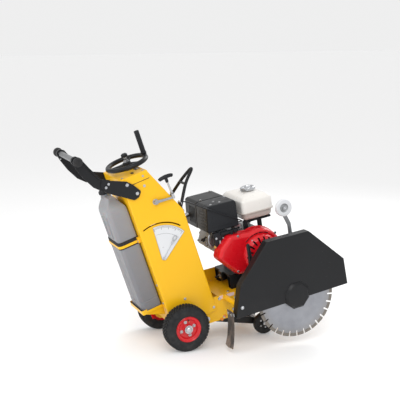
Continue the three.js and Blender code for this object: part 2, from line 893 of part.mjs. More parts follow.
// ---- drive ----
function pulley(x, z, r, extra) {
  const wheel = turned(
    [
      [0, PULLEY_Y0],
      [r, PULLEY_Y0],
      [r, PULLEY_Y0 + 4],
      [r - 9, PULLEY_Y0 + 9],
      [r - 9, PULLEY_Y1 - 9],
      [r, PULLEY_Y1 - 4],
      [r, PULLEY_Y1],
      [0, PULLEY_Y1],
    ],
    x,
    z,
    28,
  );
  return extra ? join(wheel, extra) : wheel;
}

const enginePulley = () =>
  pulley(CRANK_X, CRANK_Z, ENGINE_PULLEY_R, rodY(CRANK_X, CRANK_Z, 70, PULLEY_Y1 + 4, 12.5, 12));

const shaftPulley = () =>
  cut(
    pulley(BLADE_X, BLADE_Z, SHAFT_PULLEY_R),
    rodY(BLADE_X, BLADE_Z, PULLEY_Y0 - 1, PULLEY_Y1 + 1, SHAFT_R + GAP, 18),
  );

// The outline of a belt round both pulleys, grown by a given amount.
function beltOutline(grow) {
  const rTop = ENGINE_PULLEY_R + grow;
  const rLow = SHAFT_PULLEY_R + grow;
  const dx = BLADE_X - CRANK_X;
  const dz = BLADE_Z - CRANK_Z;
  const dist = Math.hypot(dx, dz);
  const dir = Math.atan2(dz, dx);
  const open = Math.acos((rTop - rLow) / dist);
  const s = new THREE.Shape();
  s.absarc(BLADE_X, BLADE_Z, rLow, dir - open, dir + open);
  s.absarc(CRANK_X, CRANK_Z, rTop, dir + open, dir - open + 2 * Math.PI);
  return s;
}

function driveBelt() {
  const outer = plate(beltOutline(-1), PULLEY_Y0 + 10, PULLEY_Y1 - 10);
  return cut(outer, plate(beltOutline(-8.4), PULLEY_Y0 + 9, PULLEY_Y1 - 9));
}

function beltGuard() {
  const shell = plate(beltOutline(22), PULLEY_Y0 - 14, PULLEY_Y1 + 16);
  const hollow = plate(beltOutline(18), PULLEY_Y0 - 10, PULLEY_Y1 + 12);
  return cut(
    shell,
    hollow,
    rodY(CRANK_X, CRANK_Z, PULLEY_Y0 - 20, PULLEY_Y0, 20, 14),
    rodY(BLADE_X, BLADE_Z, PULLEY_Y0 - 20, PULLEY_Y0, 40, 18),
  );
}

function bladeShaft() {
  const shaft = rodY(BLADE_X, BLADE_Z, GUARD_Y0 + 8, PULLEY_Y1 + 8, SHAFT_R, 14);
  const collar = rodY(BLADE_X, BLADE_Z, BLADE_Y + BLADE_T / 2 + GAP, BLADE_Y + 20, 55, 20);
  const seat = BLADE_Y - BLADE_T / 2;
  const thread = rodY(BLADE_X, BLADE_Z, GUARD_Y0 + 8, seat + 1, SHAFT_R - 1, 14);
  return join(cut(shaft, rodY(BLADE_X, BLADE_Z, GUARD_Y0, seat, 40, 14)), collar, thread);
}

function bearing(side) {
  const outer = COL_HALF - SHEET - 2;
  const from = side < 0 ? GUARD_Y1 + 26 : outer - 22;
  const to = side < 0 ? -outer + 22 : outer + 4;
  const face = side < 0 ? -outer - 0.5 : outer + 0.5;
  const flange = side < 0 ? [-outer - 9, face] : [face, outer + 6];
  return cut(
    join(
      rodY(BLADE_X, BLADE_Z, from, to, 33, 18),
      rodY(BLADE_X, BLADE_Z, flange[0], flange[1], side < 0 ? 48 : 44, 18),
    ),
    rodY(BLADE_X, BLADE_Z, -400, 400, SHAFT_R + 0.5, 14),
  );
}

function blade() {
  const s = new THREE.Shape();
  const step = 360 / BLADE_SEGMENTS;
  for (let i = 0; i < BLADE_SEGMENTS; i++) {
    const a = i * step;
    s.absarc(0, 0, BLADE_R, (a + 1) * DEG, (a + step - 1) * DEG);
    for (const [r, at] of [[BLADE_R - 26, step - 0.6], [BLADE_R - 26, step + 0.6]]) {
      s.lineTo(r * Math.cos((a + at) * DEG), r * Math.sin((a + at) * DEG));
    }
  }
  const geometry = new THREE.ExtrudeGeometry(s, { depth: BLADE_T, bevelEnabled: false, curveSegments: 1 });
  return cut(
    solid(geometry.rotateX(Math.PI / 2).translate(BLADE_X, BLADE_Y + BLADE_T / 2, BLADE_Z)),
    rodY(BLADE_X, BLADE_Z, BLADE_Y - 9, BLADE_Y + 9, SHAFT_R + 0.5, 14),
  );
}

function outerFlange() {
  const y = BLADE_Y - BLADE_T / 2 - GAP;
  return cut(
    join(rodY(BLADE_X, BLADE_Z, y - 9, y, 52, 20), rodY(BLADE_X, BLADE_Z, y - 16, y - 8, 26, 6)),
    rodY(BLADE_X, BLADE_Z, y - 30, y + 1, SHAFT_R - 1 + GAP, 14),
  );
}

// ---- blade guard, splash flap and front guide ----
function guardOutline(inset) {
  const k = inset;
  return [
    [228 + k, 28 - (k > 0 ? 4 : 0)],
    [910 - k, 36 - (k > 0 ? 4 : 0)],
    [904 - k, 184 - k * 0.4],
    [712 - k * 0.4, 391 - k],
    [462 + k * 0.4, 394 - k],
    [276 + k, 196 - k * 0.4],
  ];
}

function bladeGuard() {
  const shell = plate(guardOutline(0), GUARD_Y0, GUARD_Y1);
  const hollow = plate(guardOutline(4), GUARD_Y0 + 3, GUARD_Y1 - 3);
  const bump = [];
  for (let i = 0; i < 8; i++) {
    const a = (22.5 + i * 45) * DEG;
    bump.push([BLADE_X - 4 + 76 * Math.cos(a), BLADE_Z + 14 + 76 * Math.sin(a)]);
  }
  const hub = plate(bump, GUARD_Y0 - 16, GUARD_Y0 + 3);
  const inHub = bump.map(([x, z]) => [
    BLADE_X - 4 + (x - BLADE_X + 4) * 0.93,
    BLADE_Z + 14 + (z - BLADE_Z - 14) * 0.93,
  ]);
  const inside = plate(inHub, GUARD_Y0 - 12, GUARD_Y0 + 4);
  const notch = plate(
    [
      [BLADE_X - 62, -10],
      [BLADE_X + 62, -10],
      [BLADE_X + 62, BLADE_Z + 30],
      [BLADE_X + 30, BLADE_Z + 62],
      [BLADE_X - 30, BLADE_Z + 62],
      [BLADE_X - 62, BLADE_Z + 30],
    ],
    GUARD_Y1 - 4,
    GUARD_Y1 + 1,
  );
  return cut(
    join(cut(shell, hollow), cut(hub, inside)),
    notch,
    rodY(GUARD_PIVOT_X, GUARD_PIVOT_Z, GUARD_Y1 - 4, GUARD_Y1 + 1, 7, 10),
    inside,
  );
}

function splashFlap() {
  const y0 = GUARD_Y0 + 4;
  const y1 = GUARD_Y1 + 36;
  const outer = [];
  const inner = [];
  for (let i = 0; i <= 8; i++) {
    const t = i / 8;
    const x = 214 - 34 * t * t;
    const z = 66 - 196 * t;
    outer.push([x, z]);
    inner.unshift([x + 5, z]);
  }
  return plate([...outer, ...inner].reverse(), y0, y1);
}

function guideArm() {
  const y = ROLLER_Y;
  const low = plate(
    [
      [GUIDE_PIVOT_X - 15, GUIDE_PIVOT_Z - 15],
      [GUIDE_PIVOT_X + 15, GUIDE_PIVOT_Z - 15],
      [GUIDE_PIVOT_X + 10, 392],
      [ROLLER_X + 14, ROLLER_Z - 30],
      [ROLLER_X + 12, ROLLER_Z + 12],
      [ROLLER_X - 12, ROLLER_Z + 12],
      [ROLLER_X - 12, ROLLER_Z - 24],
      [GUIDE_PIVOT_X - 12, 384],
    ],
    y + 13,
    y + 18,
  );
  const pin = rodY(ROLLER_X, ROLLER_Z, y - 16, y + 14, 7, 10);
  return cut(join(low, pin), rodY(GUIDE_PIVOT_X, GUIDE_PIVOT_Z, y + 10, y + 20, 7, 10));
}

function guideRoller() {
  return cut(
    turned(
      [
        [0, ROLLER_Y - 12],
        [22, ROLLER_Y - 12],
        [26, ROLLER_Y - 8],
        [38, ROLLER_Y - 8],
        [44, ROLLER_Y - 12],
        [ROLLER_R, ROLLER_Y - 8],
        [ROLLER_R, ROLLER_Y + 8],
        [44, ROLLER_Y + 12],
        [0, ROLLER_Y + 12],
      ],
      ROLLER_X,
      ROLLER_Z,
      28,
    ),
    rodY(ROLLER_X, ROLLER_Z, ROLLER_Y - 20, ROLLER_Y + 20, 7 + GAP, 10),
  );
}

// ---- assembly ----
chassis.add(
  mesh("chassis_frame", chassisFrame(), yellow()),
  mesh("engine_platform", enginePlatform(), black()),
  mesh("crankcase", crankcase(), castAlloy()),
  mesh("cylinder", cylinder(), castAlloy()),
  mesh("fan_shroud", fanShroud(), red()),
  mesh("recoil_starter", recoilStarter(), red()),
  mesh("recoil_handle", recoilHandle(), black()),
  mesh("fuel_tank", fuelTank(), white()),
  mesh("fuel_cap", fuelCap(), greyPlastic()),
  mesh("air_cleaner", airCleaner(), black()),
  mesh("muffler", muffler(), black()),
  mesh("carburettor", carburettor(), castAlloy()),
  mesh("throttle_lever", throttleLever(), zinc()),
  mesh("throttle_cable", throttleCable(), black()),
  mesh("spark_plug_cap", sparkPlugCap(), black()),
  mesh("engine_pulley", enginePulley(), steel()),
  mesh("shaft_pulley", shaftPulley(), steel()),
  mesh("drive_belt", driveBelt(), rubber()),
  mesh("belt_guard", beltGuard(), black()),
  mesh("blade_shaft", bladeShaft(), steel()),
  mesh("bearing_right", bearing(-1), black()),
  mesh("bearing_left", bearing(1), black()),
  mesh("blade", blade(), steel()),
  mesh("outer_flange", outerFlange(), zinc()),
  mesh("blade_guard", bladeGuard(), black()),
  mesh("splash_flap", splashFlap(), rubber()),
  mesh("guide_arm", guideArm(), zinc()),
  mesh("guide_roller", guideRoller(), white()),
  mesh("rear_axle", rearAxle(), zinc()),
);
column.add(
  mesh("column_shell", columnShell(), yellow()),
  mesh("column_cap", columnCap(), yellow()),
  mesh("screw_bearing", screwBearing(), castAlloy()),
  mesh("depth_screw", depthScrew(), steel()),
  mesh("handwheel", handwheel(), black()),
  mesh("crank_grip", crankGrip(), black()),
  mesh("lock_knob", lockKnob(), black()),
  mesh("lift_rod", liftRod(), steel()),
  mesh("water_tank", waterTank(), greyPlastic()),
  mesh("tank_cap", tankCap(), black()),
  mesh("tank_band", tankBand(), yellow()),
  mesh("tank_shelf", tankShelf(), yellow()),
  mesh("water_valve", waterValve(), brass()),
  mesh("valve_lever", valveLever(), red()),
  mesh("handlebar_arm_right", handlebarArm(-1), black()),
  mesh("handlebar_arm_left", handlebarArm(1), black()),
  mesh("handlebar_tube", handlebarTube(), steel()),
  mesh("depth_scale", depthScale(), white()),
  mesh("depth_pointer", depthPointer(), zinc()),
  mesh("release_lever", releaseLever(), zinc()),
  mesh("pull_rod", pullRod(), zinc()),
  mesh("t_handle", tHandle(), black()),
  mesh("lifting_bail", liftingBail(), black()),
);
swing.add(
  mesh("swing_frame", swingFrame(), black()),
  mesh("front_axle", frontAxle(), zinc()),
  frontWheel(-1),
  frontWheel(1),
);

for (const side of [-1, 1]) {
  const where = side < 0 ? "right" : "left";
  for (const made of [
    mesh("rear_tyre_" + where, rearTyre(), rubber()),
    mesh("rear_rim_" + where, rearRim(), red()),
  ]) {
    made.position.set(0, side * REAR_Y, AXLE_H);
    root.add(made);
  }
}

// The origin is under the middle of the object's box.
root.updateMatrixWorld(true);
const bounds = new THREE.Box3().setFromObject(root, true);
const centre = bounds.getCenter(new THREE.Vector3());
const part = new THREE.Group();
root.position.set(-centre.x, -centre.y, -bounds.min.z);
part.add(root);

export default part;
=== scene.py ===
import bmesh
import bpy
import json
from math import acos, atan2, cos, degrees, hypot, pi, radians, sin, tan
from mathutils import Matrix, Vector


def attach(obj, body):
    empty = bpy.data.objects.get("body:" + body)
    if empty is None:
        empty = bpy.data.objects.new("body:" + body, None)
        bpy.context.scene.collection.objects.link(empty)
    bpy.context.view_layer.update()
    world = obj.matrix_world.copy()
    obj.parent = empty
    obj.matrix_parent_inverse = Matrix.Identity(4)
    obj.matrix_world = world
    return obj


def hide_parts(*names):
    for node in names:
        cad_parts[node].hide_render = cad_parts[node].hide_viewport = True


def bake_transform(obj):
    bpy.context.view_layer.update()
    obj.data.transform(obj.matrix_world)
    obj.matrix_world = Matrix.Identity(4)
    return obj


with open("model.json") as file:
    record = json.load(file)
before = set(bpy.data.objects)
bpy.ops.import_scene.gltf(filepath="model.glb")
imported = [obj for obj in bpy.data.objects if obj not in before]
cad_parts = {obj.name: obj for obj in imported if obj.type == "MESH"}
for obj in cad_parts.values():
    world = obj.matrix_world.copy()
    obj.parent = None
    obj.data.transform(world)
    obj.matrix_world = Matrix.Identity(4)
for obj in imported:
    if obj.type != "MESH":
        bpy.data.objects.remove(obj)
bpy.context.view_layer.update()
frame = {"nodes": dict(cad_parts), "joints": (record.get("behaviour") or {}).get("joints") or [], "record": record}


JOINT = {j["name"]: j for j in frame["joints"]}
NODE = frame["nodes"]
MM = 0.001
SHARP = radians(34)


# ---- frames: chassis and column, from the joints' places and axes ----
def frame_from(origin, up):
    up = Vector(up).normalized()
    left = Vector((0, 1, 0))
    forward = left.cross(up)
    turn = Matrix((forward, left, up)).transposed().to_4x4()
    return Matrix.Translation(origin) @ turn @ Matrix.Scale(MM, 4)


def joint_at(name):
    return Vector(JOINT[name]["pos_m"])


AXLE = (joint_at("rear_wheel_right_spin") + joint_at("rear_wheel_left_spin")) / 2
HALF_TRACK = (joint_at("rear_wheel_left_spin").y - joint_at("rear_wheel_right_spin").y) / 2 / MM
GROUND = frame_from(AXLE, (0, 0, 1))
CHASSIS = frame_from(AXLE, JOINT["fuel_cap_turn"]["axis"])
COLUMN = frame_from(AXLE, JOINT["handwheel_turn"]["axis"])


# ---- camera, light and floor ----
VIEW_YAW = radians(23.1)
VIEW_PITCH = radians(-12.1)
VIEW_FROM = Vector((-1.913, -4.455, 1.729))
LENS = 83.0


def camera():
    data = bpy.data.cameras.new("camera")
    data.lens = LENS
    data.shift_y = 0.041
    cam = bpy.data.objects.new("camera", data)
    bpy.context.scene.collection.objects.link(cam)
    ahead = Vector((sin(VIEW_YAW), cos(VIEW_YAW), tan(VIEW_PITCH)))
    cam.location = VIEW_FROM
    cam.rotation_mode = "QUATERNION"
    cam.rotation_quaternion = ahead.to_track_quat("-Z", "Y")
    bpy.context.scene.camera = cam


LIGHTS_AIM = Vector((0, 0, 0.5))


def area_light(name, place, size, power):
    data = bpy.data.lights.new(name, "AREA")
    data.energy = power
    data.size = size
    lamp = bpy.data.objects.new(name, data)
    bpy.context.scene.collection.objects.link(lamp)
    lamp.location = place
    lamp.rotation_mode = "QUATERNION"
    lamp.rotation_quaternion = (LIGHTS_AIM - Vector(place)).to_track_quat("-Z", "Y")


def studio():
    area_light("key", (-1.2, -3.2, 3.6), 2.2, 62)
    area_light("fill", (-3.4, -0.6, 2.0), 2.0, 34)
    area_light("rim", (2.6, 1.6, 2.8), 1.8, 46)
    world = bpy.data.worlds.new("world")
    bpy.context.scene.world = world
    world.use_nodes = True
    sky = world.node_tree.nodes["Background"].inputs
    sky["Color"].default_value = (1.0, 1.0, 1.0, 1)
    sky["Strength"].default_value = 0.86
    bpy.ops.mesh.primitive_plane_add(size=80)
    floor = bpy.context.object
    floor.name = "floor"
    paper = bpy.data.materials.new("floor")
    paper.use_nodes = True
    look = {"Base Color": (0.84, 0.84, 0.84, 1), "Roughness": 0.95, "Emission Color": (1, 1, 1, 1),
            "Emission Strength": 0.14}
    for key, value in look.items():
        paper.node_tree.nodes["Principled BSDF"].inputs[key].default_value = value
    floor.data.materials.append(paper)
    bpy.context.scene.view_settings.view_transform = "Standard"


# ---- materials ----
class Finish:
    """A Principled material with small helpers for the nodes that vary it."""

    def __init__(self, name, roughness, metallic=0.0, **constants):
        self.mat = bpy.data.materials.new(name)
        self.mat.use_nodes = True
        self.tree = self.mat.node_tree
        self.shader = self.tree.nodes["Principled BSDF"]
        self.coords = self.tree.nodes.new("ShaderNodeTexCoord").outputs["Object"]
        self.shader.inputs["Roughness"].default_value = roughness
        self.shader.inputs["Metallic"].default_value = metallic
        for key, value in constants.items():
            self.shader.inputs[key.replace("_", " ")].default_value = value

    def node(self, kind, **settings):
        made = self.tree.nodes.new(kind)
        for key, value in settings.items():
            setattr(made, key, value)
        return made

    def noise(self, scale, detail=4.0, rough=0.5, stretch=(1, 1, 1)):
        place = self.node("ShaderNodeMapping")
        place.inputs["Scale"].default_value = stretch
        self.tree.links.new(self.coords, place.inputs["Vector"])
        made = self.node("ShaderNodeTexNoise")
        made.inputs["Scale"].default_value = scale
        made.inputs["Detail"].default_value = detail
        made.inputs["Roughness"].default_value = rough
        self.tree.links.new(place.outputs["Vector"], made.inputs["Vector"])
        return made.outputs["Fac"]

    def ramp(self, source, low, high, colors):
        made = self.node("ShaderNodeValToRGB")
        made.color_ramp.elements[0].position = low
        made.color_ramp.elements[1].position = high
        made.color_ramp.elements[0].color = (*colors[0], 1)
        made.color_ramp.elements[1].color = (*colors[1], 1)
        self.tree.links.new(source, made.inputs["Fac"])
        return made.outputs["Color"]

    def band(self, source, low, high, at_low=0.0, at_high=1.0):
        made = self.node("ShaderNodeMapRange")
        for key, value in zip(("From Min", "From Max", "To Min", "To Max"), (low, high, at_low, at_high)):
            made.inputs[key].default_value = value
        self.tree.links.new(source, made.inputs["Value"])
        return made.outputs["Result"]

    def mix(self, factor, a, b):
        made = self.node("ShaderNodeMix", data_type="RGBA")
        self.tree.links.new(factor, made.inputs["Factor"])
        for socket, value in ((made.inputs["A"], a), (made.inputs["B"], b)):
            if isinstance(value, tuple):
                socket.default_value = (*value, 1)
            else:
                self.tree.links.new(value, socket)
        return made.outputs["Result"]

    def maths(self, operation, a, b):
        made = self.node("ShaderNodeMath", operation=operation)
        for socket, value in zip(made.inputs, (a, b)):
            if isinstance(value, (int, float)):
                socket.default_value = value
            else:
                self.tree.links.new(value, socket)
        return made.outputs["Value"]

    def height(self):
        """World-like height of the surface in the object's own frame, in metres."""
        made = self.node("ShaderNodeSeparateXYZ")
        self.tree.links.new(self.coords, made.inputs["Vector"])
        return made.outputs["Z"]

    def bump(self, source, strength, distance=0.001):
        made = self.node("ShaderNodeBump")
        made.inputs["Strength"].default_value = strength
        made.inputs["Distance"].default_value = distance
        self.tree.links.new(source, made.inputs["Height"])
        self.tree.links.new(made.outputs["Normal"], self.shader.inputs["Normal"])

    def color(self, source):
        self.tree.links.new(source, self.shader.inputs["Base Color"])

    def roughness(self, source):
        self.tree.links.new(source, self.shader.inputs["Roughness"])


SCUFF_DEPTH = 0.12


def painted(name, base, deep, dust, roughness, coat, soil=0.25, shine=0.3):
    """Sprayed paint, nearly new: slow colour drift, orange peel, some dust low down, fine scuffs."""
    f = Finish(name, roughness, Coat_Weight=coat, Coat_Roughness=0.12, Specular_IOR_Level=shine)
    drift = f.mix(f.band(f.noise(1.7, 2), 0.3, 0.7), base, deep)
    low = f.maths("MULTIPLY", f.band(f.height(), 0.30, 0.02), f.band(f.noise(7, 6, 0.6), 0.4, 0.75))
    dusty = f.mix(f.maths("MULTIPLY", low, soil), drift, dust)
    scuffs = f.maths("MULTIPLY", f.band(f.noise(34, 3, 0.5, (1, 1, 7)), 0.69, 0.75),
                     f.band(f.noise(3, 2), 0.52, 0.66))
    f.color(f.mix(f.maths("MULTIPLY", scuffs, SCUFF_DEPTH), dusty, (0.35, 0.34, 0.32)))
    f.roughness(f.band(f.noise(13, 5, 0.6), 0.3, 0.75, roughness - 0.04, roughness + 0.08))
    f.bump(f.noise(420, 2), 0.06, 0.0003)
    return f.mat


def metal(name, light, dark, roughness, grain_scale=160, bump=0.08):
    f = Finish(name, roughness, 1.0)
    tone = f.mix(f.band(f.noise(14, 5, 0.6), 0.35, 0.7), light, dark)
    f.color(f.mix(f.band(f.noise(90, 4, 0.6), 0.62, 0.75, 0.0, 0.45), tone, tuple(0.5 * c for c in dark)))
    f.roughness(f.band(f.noise(grain_scale, 4, 0.6), 0.3, 0.7, roughness - 0.08, roughness + 0.12))
    f.bump(f.noise(grain_scale, 3, 0.6), bump, 0.0005)
    return f.mat


def plastic(name, base, other, roughness, bump=0.12, coat=0.0, **more):
    f = Finish(name, roughness, Coat_Weight=coat, **more)
    f.color(f.mix(f.band(f.noise(5, 4), 0.35, 0.7), base, other))
    f.roughness(f.band(f.noise(40, 4), 0.3, 0.7, roughness - 0.05, roughness + 0.1))
    f.bump(f.noise(700, 2), bump, 0.0004)
    return f.mat


def rubbery(name, base, dust, amount, low_height=0.25):
    f = Finish(name, 0.82)
    settled = f.band(f.noise(16, 6, 0.65), 0.42, 0.66)
    spread = f.maths("MULTIPLY", settled, f.band(f.height(), low_height, 0.0, amount * 0.35, amount))
    f.color(f.mix(spread, base, dust))
    f.roughness(f.band(f.noise(60, 4), 0.3, 0.7, 0.68, 0.92))
    f.bump(f.noise(320, 3, 0.6), 0.25, 0.0006)
    return f.mat


def blade_core():
    """Ground steel: rings of fine scratches round the shaft, and a dull heat tint towards the rim."""
    f = Finish("blade_steel", 0.34, 1.0)
    centre = joint_at("blade_spin")
    away = f.node("ShaderNodeVectorMath", operation="SUBTRACT")
    f.tree.links.new(f.coords, away.inputs[0])
    away.inputs[1].default_value = (centre.x, 0, centre.z)
    flat = f.node("ShaderNodeVectorMath", operation="MULTIPLY")
    f.tree.links.new(away.outputs["Vector"], flat.inputs[0])
    flat.inputs[1].default_value = (1, 0, 1)
    far = f.node("ShaderNodeVectorMath", operation="LENGTH")
    f.tree.links.new(flat.outputs["Vector"], far.inputs[0])
    radius = far.outputs["Value"]
    rings = f.node("ShaderNodeTexNoise", noise_dimensions="1D")
    rings.inputs["Scale"].default_value = 900
    rings.inputs["Detail"].default_value = 3
    f.tree.links.new(radius, rings.inputs["W"])
    tone = f.mix(f.band(f.noise(7, 5, 0.6), 0.35, 0.7), (0.36, 0.37, 0.40), (0.27, 0.275, 0.30))
    f.color(f.mix(f.band(radius, 0.17, 0.2, 0, 0.5), tone, (0.30, 0.29, 0.28)))
    f.roughness(f.band(rings.outputs["Fac"], 0.3, 0.7, 0.3, 0.5))
    f.bump(rings.outputs["Fac"], 0.06, 0.0004)
    return f.mat


def segment_metal():
    """Sintered segments: coarse grit in a brown-grey bond."""
    f = Finish("segment_bond", 0.62, 0.6)
    grit = f.noise(520, 3, 0.7)
    f.color(f.mix(f.band(grit, 0.45, 0.62), (0.17, 0.15, 0.13), (0.33, 0.305, 0.275)))
    f.bump(grit, 0.5, 0.0006)
    return f.mat


def tank_plastic():
    """Natural polyethylene, milky grey: darker towards the bottom, lighter towards the top, with a bloom of dust.
    """
    f = Finish("tank_plastic", 0.46, Subsurface_Weight=0.25, Subsurface_Scale=0.02)
    height_band = f.band(f.height(), 0.30, 0.86)
    milk = f.ramp(height_band, 0.0, 1.0, ((0.17, 0.17, 0.185), (0.31, 0.31, 0.325)))
    clouds = f.mix(f.band(f.noise(6, 5, 0.6), 0.3, 0.75, 0, 0.45), milk, (0.23, 0.23, 0.245))
    f.color(f.mix(f.band(f.noise(60, 5, 0.7), 0.6, 0.75, 0, 0.2), clouds, (0.40, 0.39, 0.38)))
    f.roughness(f.band(f.noise(34, 4), 0.3, 0.7, 0.38, 0.56))
    f.bump(f.noise(230, 3), 0.12, 0.0006)
    return f.mat


def make_materials():
    dust = (0.30, 0.27, 0.23)
    return {
        "yellow_paint": painted("yellow_paint", (0.90, 0.50, 0.006), (0.87, 0.465, 0.006),
                                (0.55, 0.38, 0.15), 0.34, 0.12),
        "black_paint": painted("black_paint", (0.0075, 0.008, 0.0095), (0.0105, 0.011, 0.0125),
                               dust, 0.38, 0.06, 0.10, 0.24),
        "red_paint": painted("red_paint", (0.66, 0.007, 0.014), (0.58, 0.005, 0.012), (0.32, 0.12, 0.10),
                             0.26, 0.3),
        "tyre_rubber": rubbery("tyre_rubber", (0.008, 0.0085, 0.010), (0.07, 0.066, 0.06), 0.28, 0.26),
        "black_rubber": rubbery("black_rubber", (0.011, 0.011, 0.012), (0.08, 0.075, 0.068), 0.25, 0.2),
        "flap_rubber": rubbery("flap_rubber", (0.050, 0.044, 0.040), (0.36, 0.27, 0.21), 1.0, 0.10),
        "grey_plastic": tank_plastic(),
        "white_paint": plastic("white_paint", (0.80, 0.775, 0.735), (0.76, 0.735, 0.695), 0.3, 0.05, 0.3),
        "cream_paint": plastic("cream_paint", (0.55, 0.50, 0.455), (0.50, 0.455, 0.415), 0.36, 0.06, 0.2),
        "white_plastic": plastic("white_plastic", (0.72, 0.73, 0.75), (0.68, 0.69, 0.71), 0.36, 0.08),
        "black_plastic": plastic("black_plastic", (0.0085, 0.0095, 0.012), (0.012, 0.0135, 0.017), 0.4,
                                 Specular_IOR_Level=0.3),
        # pale pink for the strip that paints the sheen along the deck's edge
        "painted_sheen_strip": plastic("painted_sheen_strip", (0.78, 0.56, 0.54), (0.84, 0.68, 0.66), 0.22, 0.05, 0.4),
        "zinc": metal("zinc", (0.58, 0.59, 0.61), (0.44, 0.45, 0.47), 0.27),
        "steel": metal("steel", (0.46, 0.47, 0.49), (0.34, 0.35, 0.37), 0.33),
        "cast_alloy": metal("cast_alloy", (0.42, 0.43, 0.44), (0.29, 0.295, 0.30),
                            0.5, grain_scale=520, bump=0.3),
        "dull_steel": metal("dull_steel", (0.27, 0.275, 0.285), (0.20, 0.205, 0.21), 0.34),
        "brass": metal("brass", (0.64, 0.43, 0.14), (0.50, 0.33, 0.11), 0.28),
        "amber_plastic": plastic("amber_plastic", (0.80, 0.24, 0.03), (0.70, 0.19, 0.02), 0.34, 0.08),
        "blade_steel": blade_core(),
        "segment_bond": segment_metal(),
    }


MATERIAL = make_materials()
SLOT_OF = {s["node"]: s["material_slot"] for s in frame["record"]["subparts"]}


# ---- mesh building: every shape is made in millimetres in its own frame ----
def smooth_path(points, steps):
    """A Catmull-Rom curve through the points."""
    pts = [Vector(p) for p in points]
    out = []
    for i in range(len(pts) - 1):
        a = pts[i - 1] if i else 2 * pts[0] - pts[1]
        b, c = pts[i], pts[i + 1]
        d = pts[i + 2] if i + 2 < len(pts) else 2 * c - b
        for k in range(steps):
            t = k / steps
            out.append(0.5 * (2 * b + (c - a) * t + (2 * a - 5 * b + 4 * c - d) * t * t
                              + (3 * b - a - 3 * c + d) * t ** 3))
    return out + [pts[-1]]


class Outline(list):
    """The points of a rounded shape, which remembers its corners so that an inset shrinks the arcs too."""

    def __init__(self, points, corners, radii, step):
        super().__init__(points)
        self.corners = corners
        self.radii = radii
        self.step = step


def rounded(points, radius, closed=True, step=15):
    """The outline with each corner turned into an arc; radius is one number or one for each corner."""
    pts = [Vector(p) for p in points]
    radii = list(radius) if isinstance(radius, (list, tuple)) else [radius] * len(pts)
    out = []
    for i, (p, r) in enumerate(zip(pts, radii)):
        if r <= 0 or (not closed and i in (0, len(pts) - 1)):
            out.append(p)
            continue
        before, after = pts[i - 1] - p, pts[(i + 1) % len(pts)] - p
        half = before.angle(after) / 2
        reach = min(r / tan(half), 0.49 * before.length, 0.49 * after.length)
        r = reach * tan(half)
        a, b = before.normalized(), after.normalized()
        centre = p + (a + b).normalized() * (r / sin(half))
        start, end = (p + a * reach - centre).normalized(), (p + b * reach - centre).normalized()
        arcs = max(2, round(degrees(pi - 2 * half) / step + 1e-3))
        out += [centre + start.slerp(end, k / arcs) * r for k in range(arcs + 1)]
    return Outline(out, pts, radii, step) if closed else out


def rounded_rect(x0, x1, y0, y1, radius, step=15):
    return rounded([(x0, y0), (x1, y0), (x1, y1), (x0, y1)], radius, step=step)


def circle(x, y, r, sides=32, start=0.0):
    turns = [start + 2 * pi * k / sides for k in range(sides)]
    return [(x + r * cos(a), y + r * sin(a)) for a in turns]


def inset(outline, depth):
    """The outline moved inwards by depth; outlines run anticlockwise."""
    arcs = isinstance(outline, Outline)
    pts = outline.corners if arcs else [Vector(p) for p in outline]
    moved, radii = [], []
    for i, p in enumerate(pts):
        a = (p - pts[i - 1]).normalized()
        b = (pts[(i + 1) % len(pts)] - p).normalized()
        na, nb = Vector((-a.y, a.x)), Vector((-b.y, b.x))
        moved.append(p + (na + nb) * (depth / max(0.3, 1 + na.dot(nb))))
        if arcs:
            r = outline.radii[i]
            radii.append(0 if r <= 0 else r + depth if a.cross(b) < 0 else max(r - depth, 0.2 * r))
    return rounded(moved, radii, step=outline.step) if arcs else moved


def anticlockwise(outline):
    pts = [Vector(p) for p in outline]
    area = sum(p.cross(q) for p, q in zip(pts, pts[1:] + pts[:1]))
    if area > 0:
        return outline
    if isinstance(outline, Outline):
        return rounded(outline.corners[::-1], outline.radii[::-1], step=outline.step)
    return pts[::-1]


def soft_levels(h0, h1, r0, r1, steps=4):
    """Heights and insets of a slab whose two rims are rounded by r0 and r1."""
    turns = [pi / 2 * k / steps for k in range(steps + 1)]
    low = [(h0 + r0 * (1 - cos(a)), r0 * (1 - sin(a))) for a in turns] if r0 else [(h0, 0)]
    high = [(h1 - r1 * (1 - cos(a)), r1 * (1 - sin(a))) for a in turns] if r1 else [(h1, 0)]
    return low + high[::-1]


ALONG = {
    "x": Matrix(((0, 0, 1, 0), (1, 0, 0, 0), (0, 1, 0, 0), (0, 0, 0, 1))),
    "y": Matrix(((1, 0, 0, 0), (0, 0, 1, 0), (0, 1, 0, 0), (0, 0, 0, 1))),
    "z": Matrix.Identity(4),
}


def shift(x, y, z):
    return Matrix.Translation((x, y, z))


def aimed(at, direction, spin=0.0):
    """Places a shape made along +Z at a point, pointing along a direction."""
    turn = Vector(direction).normalized().to_track_quat("Z", "Y").to_matrix().to_4x4()
    return Matrix.Translation(at) @ turn @ Matrix.Rotation(spin, 4, "Z")


BOLT_TURN = 0.3


